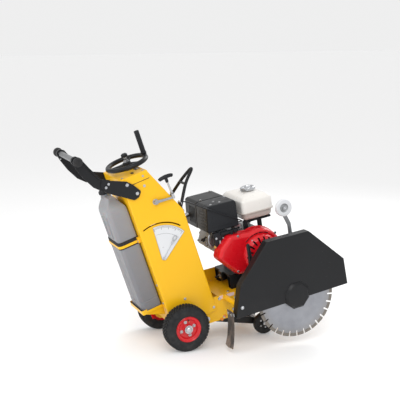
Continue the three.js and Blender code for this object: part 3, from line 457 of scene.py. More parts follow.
class Piece:
    """Closed shells gathered into one object. coat is the finish that new faces take."""

    def __init__(self, *coats):
        self.coats = list(coats)
        self.coat = 0
        self.verts = []
        self.faces = []
        self.marks = []

    def use(self, coat):
        if coat not in self.coats:
            self.coats.append(coat)
        self.coat = self.coats.index(coat)
        return self

    def add(self, verts, faces, place=None):
        base = len(self.verts)
        self.verts += [(place @ Vector(v)) if place else Vector(v) for v in verts]
        self.faces += [[base + i for i in f] for f in faces]
        self.marks += [self.coat] * len(faces)
        return self

    def rings(self, rings, place=None, closed=False):
        """A skin over rings of equally many points, with flat ends unless it closes on itself."""
        n = len(rings[0])
        verts = [v for ring in rings for v in ring]
        faces = []
        for k in range(len(rings) if closed else len(rings) - 1):
            a, b = k * n, (k + 1) % len(rings) * n
            faces += [(a + i, a + (i + 1) % n, b + (i + 1) % n, b + i) for i in range(n)]
        if not closed:
            faces += [tuple(range(n))[::-1], tuple(range(len(verts) - n, len(verts)))]
        return self.add(verts, faces, place)

    def stack(self, outline, levels, axis="y", place=None):
        """The outline at each (height, inset) level."""
        outline = anticlockwise(outline)
        made = [[(*p, h) for p in inset(outline, depth)] for h, depth in levels]
        turn = ALONG[axis]
        return self.rings(made, place @ turn if place else turn)

    def slab(self, outline, h0, h1, soft=1.0, soft1=None, axis="y", place=None, steps=3):
        high = soft if soft1 is None else soft1
        return self.stack(outline, soft_levels(h0, h1, soft, high, steps), axis, place)

    def box(self, x0, x1, y0, y1, z0, z1, soft=1.0, place=None):
        shape = rounded_rect(x0, x1, z0, z1, soft, 30)
        return self.slab(shape, y0, y1, 0.9 * soft, place=place)

    def tube(self, path, r, sides=16, closed=False, soft=0.25, squash=1.0):
        """A round bar along a path, its ends rounded by a share of its radius."""
        pts = [Vector(p) for p in path]
        count = len(pts)
        radii = r if isinstance(r, (list, tuple)) else [r] * count
        ahead = [(pts[(i + 1) % count] - pts[i - 1]) if closed or 0 < i < count - 1
                 else (pts[1] - pts[0] if i == 0 else pts[-1] - pts[-2]) for i in range(count)]
        ahead = [a.normalized() for a in ahead]
        side = ahead[0].orthogonal().normalized()
        made = []
        for p, t, radius in zip(pts, ahead, radii):
            side = (side - t * side.dot(t)).normalized()
            other = t.cross(side)
            made.append([p + (side * c + other * s * squash) * radius for c, s in circle(0, 0, 1, sides)])
        if not closed and soft > 0:
            for ring, p, t, radius, where in ((made[0], pts[0], -ahead[0], radii[0], 0),
                                              (made[-1], pts[-1], ahead[-1], radii[-1], len(made))):
                small = [p + (v - p) * (1 - soft) for v in ring]
                full = [v - t * radius * soft for v in ring]
                made[0 if where == 0 else len(made) - 1] = small
                made.insert(1 if where == 0 else len(made) - 1, full)
        return self.rings(made, closed=closed)

    def rod(self, a, b, r, sides=16):
        return self.tube([a, b], r, sides, soft=0.12)

    def turned(self, profile, place, steps=32, closed=False):
        """A profile of (radius, height) turned about the local Z; a closed one makes a ring."""
        made = [[(*p, h) for p in circle(0, 0, max(r, 0.01), steps)] for r, h in profile]
        return self.rings(made, place, closed)

    def bolt(self, at, direction, size, washer=True, tail=0.0):
        """A hex head with a domed chamfer on its washer; size is the thread's radius."""
        place = aimed(at, direction, BOLT_TURN)
        rise = 0.0
        if washer:
            rise = size * 0.28
            self.turned(rounded([(0, 0), (size * 2.05, 0), (size * 2.05, rise), (0, rise)], size * 0.08,
                                False, 45), place, 20)
        tall = size * 1.15
        hexagon = circle(0, 0, size * 1.72, 6)
        self.stack(hexagon, [(rise, 0.1), (rise + 0.2, 0), (rise + tall * 0.78, 0),
                             (rise + tall, size * 0.26)], "z", place)
        if tail:
            profile = [(0, rise)]
            for k in range(int(tail / 1.6)):
                profile += [(size * 0.96, rise + tall + 1.6 * k),
                            (size * 0.84, rise + tall + 1.6 * k + 0.8)]
            self.turned(profile + [(0, rise + tall + tail)], place, 14)
        return self

    def loose(self):
        mesh = bpy.data.meshes.new("loose")
        mesh.from_pydata([tuple(v) for v in self.verts], [], self.faces)
        mesh.polygons.foreach_set("material_index", self.marks)
        work = bmesh.new()
        work.from_mesh(mesh)
        bmesh.ops.recalc_face_normals(work, faces=work.faces)
        work.to_mesh(mesh)
        work.free()
        for coat in self.coats:
            mesh.materials.append(MATERIAL[coat])
        made = bpy.data.objects.new("loose", mesh)
        bpy.context.scene.collection.objects.link(made)
        return made

    def carve(self, *tools):
        """Cuts closed shapes out of this one; a tool with a coat of its own gives it to the cut's walls."""
        body = self.loose()
        for tool in tools:
            mod = body.modifiers.new("cut", "BOOLEAN")
            mod.operation = "DIFFERENCE"
            mod.solver = "MANIFOLD"
            mod.object = tool.loose()
        mesh = body.evaluated_get(bpy.context.evaluated_depsgraph_get()).to_mesh()
        if not mesh.polygons:
            raise ValueError("a cut left nothing")
        self.verts = [v.co.copy() for v in mesh.vertices]
        self.faces = [list(p.vertices) for p in mesh.polygons]
        self.marks = [min(p.material_index, len(self.coats) - 1) for p in mesh.polygons]
        for gone in [mod.object for mod in body.modifiers] + [body]:
            bpy.data.objects.remove(gone)
        return self

    def merge(self, other, place=None):
        """Takes over another piece's shells, in this one's present finish."""
        return self.add(other.verts, other.faces, place)

    def done(self, name, place, body, slot=None, extra=False):
        """The finished object, in metres, riding on its body, or on none when no body is given.
        It replaces the CAD node of the same name, unless it is an extra that has none."""
        made = self.loose()
        made.name = made.data.name = name
        made.data.transform(place)
        if place.determinant() < 0:
            made.data.flip_normals()
        smoothed(made)
        made.modifiers.new("even", "WEIGHTED_NORMAL").keep_sharp = True
        if body:
            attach(made, body)
        slot or self.coats[0]
        if not extra:
            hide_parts(name)
        return made


def smoothed(ob):
    ob.data.polygons.foreach_set("use_smooth", [True] * len(ob.data.polygons))
    ob.data.set_sharp_from_angle(angle=SHARP)


def keep(node, width):
    """A CAD node that stays as it is, with its edges rounded and its own finish."""
    ob = NODE[node]
    ob.data.materials.clear()
    ob.data.materials.append(MATERIAL[SLOT_OF[node]])
    smoothed(ob)
    mod = ob.modifiers.new("rounded", "BEVEL")
    mod.width = width * MM
    mod.segments = 2
    mod.limit_method = "ANGLE"
    mod.angle_limit = SHARP
    ob.modifiers.new("even", "WEIGHTED_NORMAL").keep_sharp = True


def mirrored(half):
    """A profile of (radius, height) down to height 0, and its reflection below."""
    return half + [(r, -h) for r, h in half[-2::-1]]


# ---- wheels ----
REAR_R = 126.2
TREAD = 44


def rear_wheel(side, where):
    hub = (0, side * HALF_TRACK, 0)
    place = aimed(hub, (0, side, 0))
    body = "rear_wheel_" + where
    tyre = Piece("tyre_rubber")
    profile = [(67, 30), (70.4, 37), (79, 41), (84, 40.4), (88, 41.6), (97, 42), (100, 41), (106, 40.6),
               (112, 38.2), (117, 33.5), (119.4, 27), (120.6, 14), (121, 0)]
    across = mirrored(profile) + [(67, -30), (65, -20), (65, 20)]
    tyre.turned(across, place, 88, closed=True)
    step = 2 * pi / TREAD
    for k in range(TREAD):
        for y0, y1, lead, deep in ((-11, -1.2, 0.0, 0), (1.2, 11, 0.5, 0), (-26, -13, 0.5, 0.7),
                                   (13, 26, 0.0, 0.7)):
            tread_block(tyre, place, (k + lead) * step, step * 0.66, y0, y1, REAR_R - deep, 117)
        for edge in (-1, 1):
            lug = [(edge * y, r) for y, r in ((28, 124.2), (34.6, 118.6), (39.4, 110.4), (34, 108),
                                              (27, 116))]
            shoulder_lug(tyre, place, (k + 0.25) * step, step * 0.52, lug)
    tyre.done("rear_tyre_" + where, GROUND, body)

    rim = Piece("red_paint")
    half = [(13.2, 40), (20, 40), (21.5, 38.5), (22, 24), (25, 21.6), (45, 21.6), (49, 23.5),
            (52.6, 30), (55.4, 32.6), (62, 33), (66.4, 36.2), (68.6, 39.2), (70, 38), (69.2, 35),
            (66.6, 29), (64, 16), (64, 0)]
    outline = mirrored(half)
    rim.turned(outline, place, 72, closed=True)
    rim.use("zinc")
    for x, z in circle(0, 0, 38, 4, radians(20)):
        for face in (-1, 1):
            rim.bolt((x, hub[1] + face * 21.6, z), (0, face, 0), 4.6, tail=3.5)
    rim.use("black_rubber")
    rim.rod(Vector(hub) + Vector((0, side * 22, 54)), Vector(hub) + Vector((0, side * 40, 47)), 3.4, 10)
    rim.use("brass")
    rim.rod(Vector(hub) + Vector((0, side * 39, 47.4)), Vector(hub) + Vector((0, side * 45, 45.2)), 2.2, 8)
    rim.done("rear_rim_" + where, GROUND, body)


def on_wheel(angle, radius, y):
    return Vector((radius * cos(angle), radius * sin(angle), y))


def tread_block(piece, place, angle, width, y0, y1, top, foot):
    """One block of tread: its sides lean in and its crown follows the tyre."""
    made = []
    for radius, lean in ((foot, 0.0), (top - 0.9, 0.07), (top, 0.15)):
        a0, a1 = angle - width * (0.5 - lean / 2), angle + width * (0.5 - lean / 2)
        shrink = lean * (y1 - y0) * 0.4
        made.append([on_wheel(a0, radius, y0 + shrink), on_wheel(a1, radius, y0 + shrink),
                     on_wheel(a1, radius, y1 - shrink), on_wheel(a0, radius, y1 - shrink)])
    piece.rings(made, place)


def shoulder_lug(piece, place, angle, width, outline):
    made = [[on_wheel(a, r, y) for y, r in outline] for a in (angle - width / 2, angle + width / 2)]
    piece.rings(made, place)


def front_wheel(side, where):
    hub = GROUND.inverted() @ joint_at("front_wheel_" + where + "_spin")
    place = aimed(hub, (0, side, 0))
    wheel = Piece("black_rubber")
    tyre = [(42, 15), (44, 16.4), (52, 16.6), (57.6, 15.4), (60.4, 12), (61.1, 6), (61.1, 1.6),
            (60.2, 0.8), (60.2, 0)]
    wheel.turned(mirrored(tyre) + [(40, -12), (40, 12)], place, 64, closed=True)
    wheel.use("black_paint")
    core = [(10.3, 14), (16.5, 14), (17.5, 13), (18, 6), (34, 6), (37, 12.5), (42.6, 13.6), (42.6, 0)]
    wheel.turned(mirrored(core), place, 48, closed=True)
    wheel.use("zinc")
    for x, z in circle(hub.x, hub.z, 26, 5):
        wheel.bolt((x, hub.y + side * 6, z), (0, side, 0), 2.6)
    wheel.done("front_wheel_" + where, GROUND, "front_wheel_" + where)


def rear_axle():
    axle = Piece("zinc")
    end = HALF_TRACK + 42
    axle.rod((0, -end, 0), (0, end, 0), 12.5, 24)
    for side in (-1, 1):
        out = aimed((0, side * end, 0), (0, side, 0))
        axle.stack(circle(0, 0, 18.4, 6), [(-1, 1), (0, 0), (5.4, 0), (7, 1.6)], "z", out)
        cap = [(14.8, 2), (14.8, 5), (14, 5.6), (11, 9), (6, 11.2), (0, 11.8)]
        axle.turned(cap, out, 28)
        axle.turned(rounded_rect(12, 20, 6, -4, 0.8), aimed((0, side * 151, 0), (0, side, 0)), 28,
                    closed=True)
        axle.turned(rounded_rect(12, 23, -1.4, -4, 0.5), out, 32, closed=True)
    axle.done("rear_axle", GROUND, "frame")


# ---- column ----
COL_REAR, COL_FRONT, COL_TOP_FRONT = -54, 213, 93
COL_BEND_W, COL_TOP_W, COL_BOTTOM_W = 590, 862, -16
COL_HALF = 145
SCREW_U, WHEEL_W, RING_R, RING_TUBE, GRIP_LEN = 44, 902, 104, 12.5, 140
SCALE_U, SCALE_W, SCALE_R, SLOT_R = 25, 389, 178, 192
LEVER_U, LEVER_W, LEVER_Y = 81, 692, -COL_HALF - 12
SWING_X, SWING_Z, SIDE_Y = 150, -17.5, 139
LEAN = Vector(JOINT["fuel_cap_turn"]["axis"]).angle(Vector(JOINT["handwheel_turn"]["axis"]))
COLUMN_SIDE = [(COL_REAR, COL_BOTTOM_W), (COL_FRONT, COL_BOTTOM_W), (COL_FRONT, COL_BEND_W),
               (COL_TOP_FRONT, COL_TOP_W), (COL_REAR, COL_TOP_W)]


def arc(cx, cy, r, a0, a1, steps=24):
    turns = [radians(a0 + (a1 - a0) * k / steps) for k in range(steps + 1)]
    return [(cx + r * cos(a), cy + r * sin(a)) for a in turns]


def column_shell():
    shell = Piece("yellow_paint")
    shell.slab(rounded(COLUMN_SIDE, [0, 0, 26, 4, 4]), -COL_HALF, COL_HALF, 6.5, steps=5)
    hollow = Piece().slab(inset(anticlockwise(COLUMN_SIDE), 3), -COL_HALF + 3, COL_HALF - 3, 4)
    under = Piece().box(COL_REAR - 20, COL_FRONT - 34, -COL_HALF + 3, COL_HALF - 3, -60, 118, 0)
    front = Piece().box(COL_FRONT - 20, COL_FRONT + 8, -COL_HALF + 4.1, COL_HALF - 4.1, -60, 140, 0)
    slot = arc(SCALE_U, SCALE_W, SLOT_R + 3.6, 42, 107) + arc(SCALE_U, SCALE_W, SLOT_R - 3.6, 107, 42)
    cuts = [hollow, under, front, Piece().slab(slot, -COL_HALF - 2, -COL_HALF + 6, 0)]
    u = SWING_X * cos(LEAN) + SWING_Z * sin(LEAN)
    w = SWING_Z * cos(LEAN) - SWING_X * sin(LEAN)
    for x, z, r in ((u, w, 19), (0, 0, 15.5), (LEVER_U, LEVER_W, 8.6)):
        cuts.append(Piece().slab(circle(x, z, r, 24), -COL_HALF - 5, COL_HALF + 5, 0))
    for k in range(9):
        vent = rounded_rect(60, 140, 470 + 14 * k, 475 + 14 * k, 2.4, 30)
        cuts.append(Piece().slab(vent, COL_HALF - 6, COL_HALF + 6, 0))
    shell.carve(*cuts)
    shell.done("column_shell", COLUMN, "frame")

    trim = Piece("zinc", "black_plastic")
    for u, w, side in ((53, 794, -1), (61, 128, -1), (199, 10, -1), (53, 794, 1), (61, 128, 1),
                       (199, 10, 1), (199, 60, 1)):
        trim.bolt((u, side * COL_HALF, w), (0, side, 0), 3.7)
    for w in (40, 150, 260):
        for side in (-1, 1):
            trim.bolt((COL_REAR, side * 126, w), (-1, 0, 0), 3.6)
    trim.done("column_bolts", COLUMN, "frame", slot="zinc", extra=True)


def column_cap():
    top = COL_TOP_W + 5
    cap = Piece("yellow_paint")
    lid = [(COL_REAR - 3, -COL_HALF - 3), (COL_TOP_FRONT + 1, -COL_HALF - 3),
           (COL_TOP_FRONT + 1, COL_HALF + 3), (COL_REAR - 3, COL_HALF + 3)]
    cap.stack(rounded(lid, 5), [(COL_TOP_W - 36, 0.3), (COL_TOP_W - 35, 0), (top - 4.6, 0),
                                (top - 2.2, 0.9), (top - 0.7, 2.6), (top, 5)], "z")
    inner = Piece().stack(rounded(inset(anticlockwise(lid), 2.4), 4),
                          [(COL_TOP_W - 50, 0), (COL_TOP_W + 0.4, 0)], "z")
    sight = Piece().slab(rounded_rect(60, 82, -62, -12, 4), top - 8, top + 4, 0, axis="z")
    front = Piece().box(COL_TOP_FRONT - 14, COL_TOP_FRONT + 30, -COL_HALF + 2, COL_HALF - 2,
                        COL_TOP_W - 60, COL_TOP_W + 0.4, 0)
    cap.carve(inner, sight, front)
    cap.done("column_cap", COLUMN, "frame")

    fit = Piece("black_plastic", "zinc", "cast_alloy")
    fit.slab(rounded_rect(57, 85, -66, -8, 6), top - 5.4, top + 1.2, 1, axis="z")
    fit.use("zinc")
    for u, v in ((71, -61), (71, -13), (-38, -120), (-38, 120), (78, -124), (78, 124)):
        fit.bolt((u, v, top + (1.2 if u == 71 else 0)), (0, 0, 1), 3.2)
    for u, side in ((62, -1), (62, 1), (-30, -1), (-30, 1)):
        fit.bolt((u, side * (COL_HALF + 3), COL_TOP_W - 16), (0, side, 0), 3)
    fit.use("black_plastic").slab(rounded_rect(20, 34, -112, -84, 3), top - 0.5, top + 2, 0.8, axis="z")
    fit.done("cap_fittings", COLUMN, "frame", slot="black_plastic", extra=True)

    # a thin black strip under the cap's lip: painted shade, the shadow line below the lip
    lip_shade_line = Piece("black_rubber").slab(rounded(inset(lid, 0.7), 5), COL_TOP_W - 39.4, COL_TOP_W - 35.4,
                                      0.4, axis="z")
    lip_shade_line.carve(Piece().slab(inset(lid, 6), COL_TOP_W - 45, COL_TOP_W - 30, 0, axis="z"))
    lip_shade_line.done("cap_lip_shade_line", COLUMN, "frame", extra=True)

    base = top + 0.4
    flange = Piece("cast_alloy", "zinc")
    profile = [(11.6, base - 20), (15, base - 20), (15, base), (31, base), (31.6, base + 4),
               (24, base + 6.5), (21, base + 12), (11.6, base + 12)]
    flange.turned(rounded(profile, 1.2), shift(SCREW_U, 0, 0), 40, closed=True)
    flange.use("zinc")
    for u, v in circle(SCREW_U, 0, 26, 4, radians(45)):
        flange.bolt((u, v, base + 5), (0, 0, 1), 2.4, washer=False)
    flange.done("screw_bearing", COLUMN, "frame")


# ---- handwheel, depth screw and lift rod ----
def handwheel():
    wheel = Piece("black_paint", "steel")
    ring = [(u, v, WHEEL_W) for u, v in circle(SCREW_U, 0, RING_R, 72)]
    wheel.tube(ring, RING_TUBE, 18, closed=True)
    for turn in (60, 180, 300):
        c, s = cos(radians(turn)), sin(radians(turn))
        spoke = ((10, -2), (36, -4), (76, -3), (100, 0))
        path = smooth_path([(SCREW_U + r * c, r * s, WHEEL_W + h) for r, h in spoke], 5)
        wheel.tube(path, 8.2, 14, squash=0.7)
    hub = rounded([(0, -11.6), (22, -11.6), (22, 4), (17, 8), (0, 8)], 1.6, False)
    wheel.turned(hub, shift(SCREW_U, 0, WHEEL_W), 36)
    # the ring turns up into the crank: a thick elbow under the grip
    at = SCREW_U + RING_R
    elbow = rounded([(0, 8), (15, 8), (15.2, 12), (13, 14), (0, 14)], 1, False)
    wheel.turned(elbow, shift(at, 0, WHEEL_W), 28)
    wheel.use("steel").rod((at, 0, WHEEL_W), (at, 0, WHEEL_W + GRIP_LEN - 6), 5, 16)
    wheel.rod((SCREW_U, 0, WHEEL_W + 2), (SCREW_U, 0, WHEEL_W + 40), 6.4, 20)
    wheel.bolt((SCREW_U, 0, WHEEL_W + 8), (0, 0, 1), 7.4)
    wheel.done("handwheel", COLUMN, "handwheel")

    grip = Piece("black_plastic")
    base, top = WHEEL_W + 15, WHEEL_W + GRIP_LEN
    profile = [(5.6, base), (13.6, base), (15.4, base + 2), (15.4, base + 7), (13.6, base + 9)]
    for k in range(9):
        w = base + 18 + k * 11
        profile += [(13.5, w), (12.9, w + 1.2), (12.9, w + 2.4), (13.5, w + 3.6)]
    profile += [(13.6, top - 3), (12.6, top - 0.4), (11.4, top - 0.4), (10.2, top - 3), (9.4, top - 16),
                (5.6, top - 16)]
    grip.turned(profile, shift(at, 0, 0), 32, closed=True)
    grip.done("crank_grip", COLUMN, "crank_grip")

    knob = Piece("black_plastic")
    base = WHEEL_W + 8.4
    shape = rounded([(0, 25), (10, 25), (15.5, 29), (16.8, 37), (12, 45), (0, 46.4)], 3, False)
    place = shift(SCREW_U, 0, base)
    knob.turned(shape, place, 30)
    for u, v in circle(0, 0, 15, 8):
        knob.turned([(0, 27), (2.6, 28), (3, 34), (2.4, 41), (0, 42)], place @ shift(u, v, 0), 10)
    knob.use("zinc").turned([(6.6, 8), (9, 8), (9, 25), (6.6, 25)], place, 24, closed=True)
    knob.done("lock_knob", COLUMN, "lock_knob", slot="black_plastic")


def depth_screw():
    screw = Piece("steel")
    profile = [(0, 350)]
    for k in range(94):
        w = 352 + k * 5
        profile += [(9.8, w), (9.8, w + 1.8), (7.9, w + 2.7), (7.9, w + 4.2)]
    profile += [(11, 826), (11, WHEEL_W - 12), (0, WHEEL_W - 12)]
    screw.turned(profile, shift(SCREW_U, 0, 0), 20)
    screw.done("depth_screw", COLUMN, "handwheel")
    keep("lift_rod", 1.5)


# ---- water tank ----
TANK_REAR, TANK_FRONT, TANK_HALF, SHELF_W = COL_REAR - 112, COL_REAR - 3, 96, 122
TAP_U = TANK_REAR + 56


def water_tank():
    bottom = SHELF_W + 6
    tank = Piece("grey_plastic")
    outline = rounded_rect(TANK_REAR, TANK_FRONT, -TANK_HALF, TANK_HALF, [24, 10, 10, 24], step=11)
    levels = [(bottom, 12), (bottom + 2.4, 6.4), (bottom + 6, 2.6), (bottom + 12, 0.6), (bottom + 20, 0),
              (bottom + 58, 0), (bottom + 60, 1.4), (bottom + 63, 1.6), (bottom + 65, 0.2)]
    for k in range(1, 7):
        w = bottom + 65 + k * 48
        levels += [(w - 24, 0.2 - 0.3 * (k % 2)), (w, 0.3)]
    levels += [(504, 0.2), (508, 2.2), (544, 2.2), (548, 0.2), (600, 0), (660, 0.1), (698, 0.6),
               (712, 2.4), (724, 7), (735, 14), (748, 22), (760, 29), (770, 33), (776, 36), (779, 38)]
    tank.stack(outline, levels, "z")
    at = (TANK_REAR + 52, 30, 0)
    neck = [(18, 770), (27, 772), (27, 776), (24, 777), (24, 779), (26, 780), (26, 782), (24, 783),
            (24, 789.6), (18, 789.6)]
    tank.turned(neck, Matrix.Translation(at), 36, closed=True)
    outlet = [(0, bottom - 22), (9, bottom - 22), (9, bottom - 6), (13, bottom - 4), (13, bottom + 3),
              (0, bottom + 3)]
    tank.turned(outlet, shift(TAP_U, 0, 0), 20)
    # moulded handle hollow's rim and the parting line down the middle of the rear face
    for y in (-36, 36):
        tank.tube([(TANK_REAR - 0.2, y, w) for w in (560, 600, 640, 680)], 3.2, 10, soft=0.6, squash=2.0)
    tank.tube([(TANK_REAR + 0.2, 0, w) for w in (150, 300, 490)], 0.9, 8)
    tank.tube([(TANK_REAR + 0.2, 0, w) for w in (556, 640, 700)], 0.9, 8)
    tank.done("water_tank", COLUMN, "frame")

    cap = Piece("black_plastic")
    profile = rounded([(0, 790.4), (29, 790.4), (29, 806), (25, 810.6), (0, 810.6)], 1.8, False)
    cap.turned(profile, Matrix.Translation(at), 36)
    for u, v in circle(at[0], at[1], 28.6, 24):
        cap.rod((u, v, 792.5), (u, v, 805.5), 1.6, 8)
    cap.box(at[0] - 16, at[0] + 16, 27, 33, 808, 811, 1)
    cap.done("tank_cap", COLUMN, "tank_cap")


def band_ring(piece, w0, w1, inner, outer, soft):
    """A strap round three sides of the tank, its ends turned against the column."""
    x = COL_REAR - 0.4
    path = rounded([(x, -TANK_HALF), (TANK_REAR, -TANK_HALF), (TANK_REAR, TANK_HALF), (x, TANK_HALF)],
                   [0, 22, 22, 0], False, 11)
    grown = [(Vector((p.x - (1 if abs(p.y) < TANK_HALF else 0), p.y))) for p in path]
    flow = []
    for i, p in enumerate(grown):
        a, b = grown[max(i - 1, 0)], grown[min(i + 1, len(grown) - 1)]
        t = (b - a).normalized()
        flow.append((p, Vector((-t.y, t.x))))
    section = rounded_rect(inner, outer, w0, w1, soft, step=30)
    made = [[(p.x + n.x * q.x, p.y + n.y * q.x, q.y) for q in section] for p, n in flow]
    piece.rings(made)


def tank_band():
    pad = Piece("black_rubber")
    band_ring(pad, 506, 546, -1.6, 1.8, 1)
    pad.done("tank_band_pad", COLUMN, "frame", extra=True)
    band = Piece("yellow_paint", "zinc")
    band_ring(band, 513, 527, 1.6, 4.2, 1)
    for side in (-1, 1):
        band.box(COL_REAR - 13, COL_REAR - 0.3, side * (TANK_HALF + 2), side * (TANK_HALF + 16), 511,
                 541, 1.2)
        band.use("zinc").bolt((COL_REAR - 10, side * (TANK_HALF + 9.6), 520), (-1, 0, 0),
                              3.6).use("yellow_paint")
    band.done("tank_band", COLUMN, "frame")


def tank_shelf():
    w = SHELF_W
    shelf = Piece("yellow_paint")
    x0, x1, half = TANK_REAR - 8, COL_REAR - 0.4, TANK_HALF + 6
    tray = Piece().stack(
        rounded_rect(x0, x1, -half, half, [9, 0.5, 0.5, 9]),
        [(w, 3), (w + 0.9, 0.9), (w + 3, 0), (w + 25.2, 0), (w + 26, 0.8)], "z")
    hollow = Piece().stack(
        rounded_rect(x0 + 3, x1 + 5, -half + 3, half - 3, [7, 0.5, 0.5, 7]),
        [(w + 3.4, 2), (w + 5.4, 0), (w + 40, 0)], "z")
    low_side = [Piece().box(x0 + 30, x1 + 5, s * (half - 6), s * (half + 5), w + 17, w + 40, 0)
                for s in (-1, 1)]
    hole = Piece().slab(circle(TAP_U, 0, 14, 24), w - 4, w + 9, 0, axis="z")
    tray.carve(hollow, hole, *low_side)
    shelf.merge(tray)
    for side in (-1, 1):
        y0 = side * (TANK_HALF - 2)
        corner = rounded([(TANK_REAR + 4, w + 0.6), (COL_REAR - 0.4, w + 0.6), (COL_REAR - 0.4, w - 46)], 2)
        shelf.slab(anticlockwise(corner), y0 - 1.8, y0 + 1.8, 0.8)
    shelf.use("zinc")
    for side in (-1, 1):
        shelf.bolt((COL_REAR - 8, side * (TANK_HALF - 20), w), (0, 0, -1), 3.6)
    shelf.use("yellow_paint")
    shelf.done("tank_shelf", COLUMN, "frame")
    edge = Piece("black_rubber")
    edge.tube([(x0 + 1.5, y, w + 26.4) for y in (-half + 8, 0, half - 8)], 2.6, 10)
    edge.done("shelf_edge_trim", COLUMN, "frame", extra=True)


def water_valve():
    u, w = TAP_U, SHELF_W - 16.4
    valve = Piece("brass")
    valve.turned(rounded([(0, w), (12, w), (12, w - 8), (9.4, w - 10), (9.4, w - 24), (11, w - 26),
                          (11, w - 34), (0, w - 34)], 0.8, False), shift(u, 0, 0), 24)
    valve.stack(circle(u, 0, 13, 6), [(w - 8, 0.8), (w - 7, 0), (w - 1, 0), (w - 0.2, 0.8)], "z")
    valve.rod((u, 0, w - 17), (u, -20, w - 17), 6, 18)
    for k in range(5):
        valve.rod((u + 12 + 4 * k, 0, w - 24), (u + 14.4 + 4 * k, 0, w - 24), 7.6 - 0.3 * (k % 2), 18)
    valve.rod((u, 0, w - 24), (u + 30, 0, w - 24), 6.2, 18)
    valve.done("water_valve", COLUMN, "frame")
    lever = Piece("red_paint", "zinc")
    z = w - 17
    lever.slab(rounded([(u - 7, z + 7), (u - 5, z - 40), (u + 5, z - 40), (u + 7, z + 7)], 4), -26, -23, 1)
    lever.use("zinc").bolt((u, -26, z), (0, -1, 0), 3)
    lever.done("valve_lever", COLUMN, "valve_lever", slot="red_paint")


# ---- handlebar ----
TUBE_U, TUBE_W, ARM_Y = -238, 1050, COL_HALF + 4


def handlebar():
    lower = [(26, 778), (-4, 826), (-29, 853), (-150, 912), (-163, 880), (-150, 841), (-22, 746), (6, 752)]
    upper = [(-104, 892), (-152, 917), (-186, 991), (-212, 1058), (-236, 1074), (-262, 1058),
             (-250, 1010), (-231, 953), (-199, 890), (-158, 849), (-104, 852)]
    for side, where in ((-1, "right"), (1, "left")):
        arm = Piece("black_paint", "zinc")
        y0, y1 = side * ARM_Y, side * (ARM_Y + 6)
        face = y1
        arm.slab(rounded(lower, 9), min(y0, y1), max(y0, y1), 1)
        # the upper plate laps the lower one on the column's side and reaches the tube
        y2 = side * (ARM_Y - 3.6)
        arm.slab(rounded(upper, 12), min(y2, y0) - 0.2, max(y2, y0) + 0.2, 1)
        lip = rounded([(-160, 921), (-193, 993), (-218, 1056), (-214, 1058), (-187, 993), (-152, 921)], 2)
        arm.slab(anticlockwise(lip), min(y2, y2 + side * 15), max(y2, y2 + side * 15), 0.8)
        arm.use("zinc")
        for u, w in ((3, 774), (-33, 836)):
            arm.bolt((u, face, w), (0, side, 0), 4.3)
        for u, w in ((-122, 878), (-140, 866)):
            arm.bolt((u, face, w), (0, side, 0), 3.4)
            arm.rod((u, y2, w), (u, y2 - side * 9, w), 4.2, 10)
        slot = rounded_rect(-46, -8, 818, 826, 3.9, 30)
        arm.use("black_plastic").slab([(p.x + 0.5 * (p.y - 822) - 2, p.y - 0.55 * (p.x + 27))
                                       for p in slot], min(face, face + side * 0.4),
                                      max(face, face + side * 0.4), 0.1)
        arm.use("black_paint").done("handlebar_arm_" + where, COLUMN, "handlebar")
    tube = Piece("dull_steel", "black_rubber", "black_paint")
    along = aimed((TUBE_U, 0, TUBE_W), (0, 1, 0))
    tube.rod((TUBE_U, -192, TUBE_W), (TUBE_U, 192, TUBE_W), 14, 32)
    tube.use("black_rubber")
    for s in (-1, 1):
        knob = rounded([(0, s * 178), (20, s * 178), (24, s * 183), (24, s * 198), (17, s * 205),
                        (0, s * 205)], 4, False)
        tube.turned(knob, along, 36)
        tube.turned([(14, s * 172), (18.5, s * 172), (19, s * 179), (14, s * 179)], along, 32, closed=True)
    tube.use("black_paint")
    for s in (-1, 1):
        collar = rounded([(13.8, s * 131), (21, s * 131), (22, s * 133), (22, s * 146), (21, s * 148),
                          (13.8, s * 148)], 1.2)
        tube.turned(collar, along, 36, closed=True)
        tube.box(TUBE_U - 8, TUBE_U + 8, s * 133, s * 147, TUBE_W - 33, TUBE_W - 17, 2)
        tube.use("zinc").bolt((TUBE_U - 8, s * 140, TUBE_W - 26), (-1, 0, 0), 3.2).use("black_paint")
    tube.done("handlebar_tube", COLUMN, "handlebar", slot="zinc")


# ---- depth scale, release lever, T-handle and lifting bail ----
def scale_point(r, turn):
    a = radians(turn)
    return (SCALE_U + r * cos(a), SCALE_W + r * sin(a))


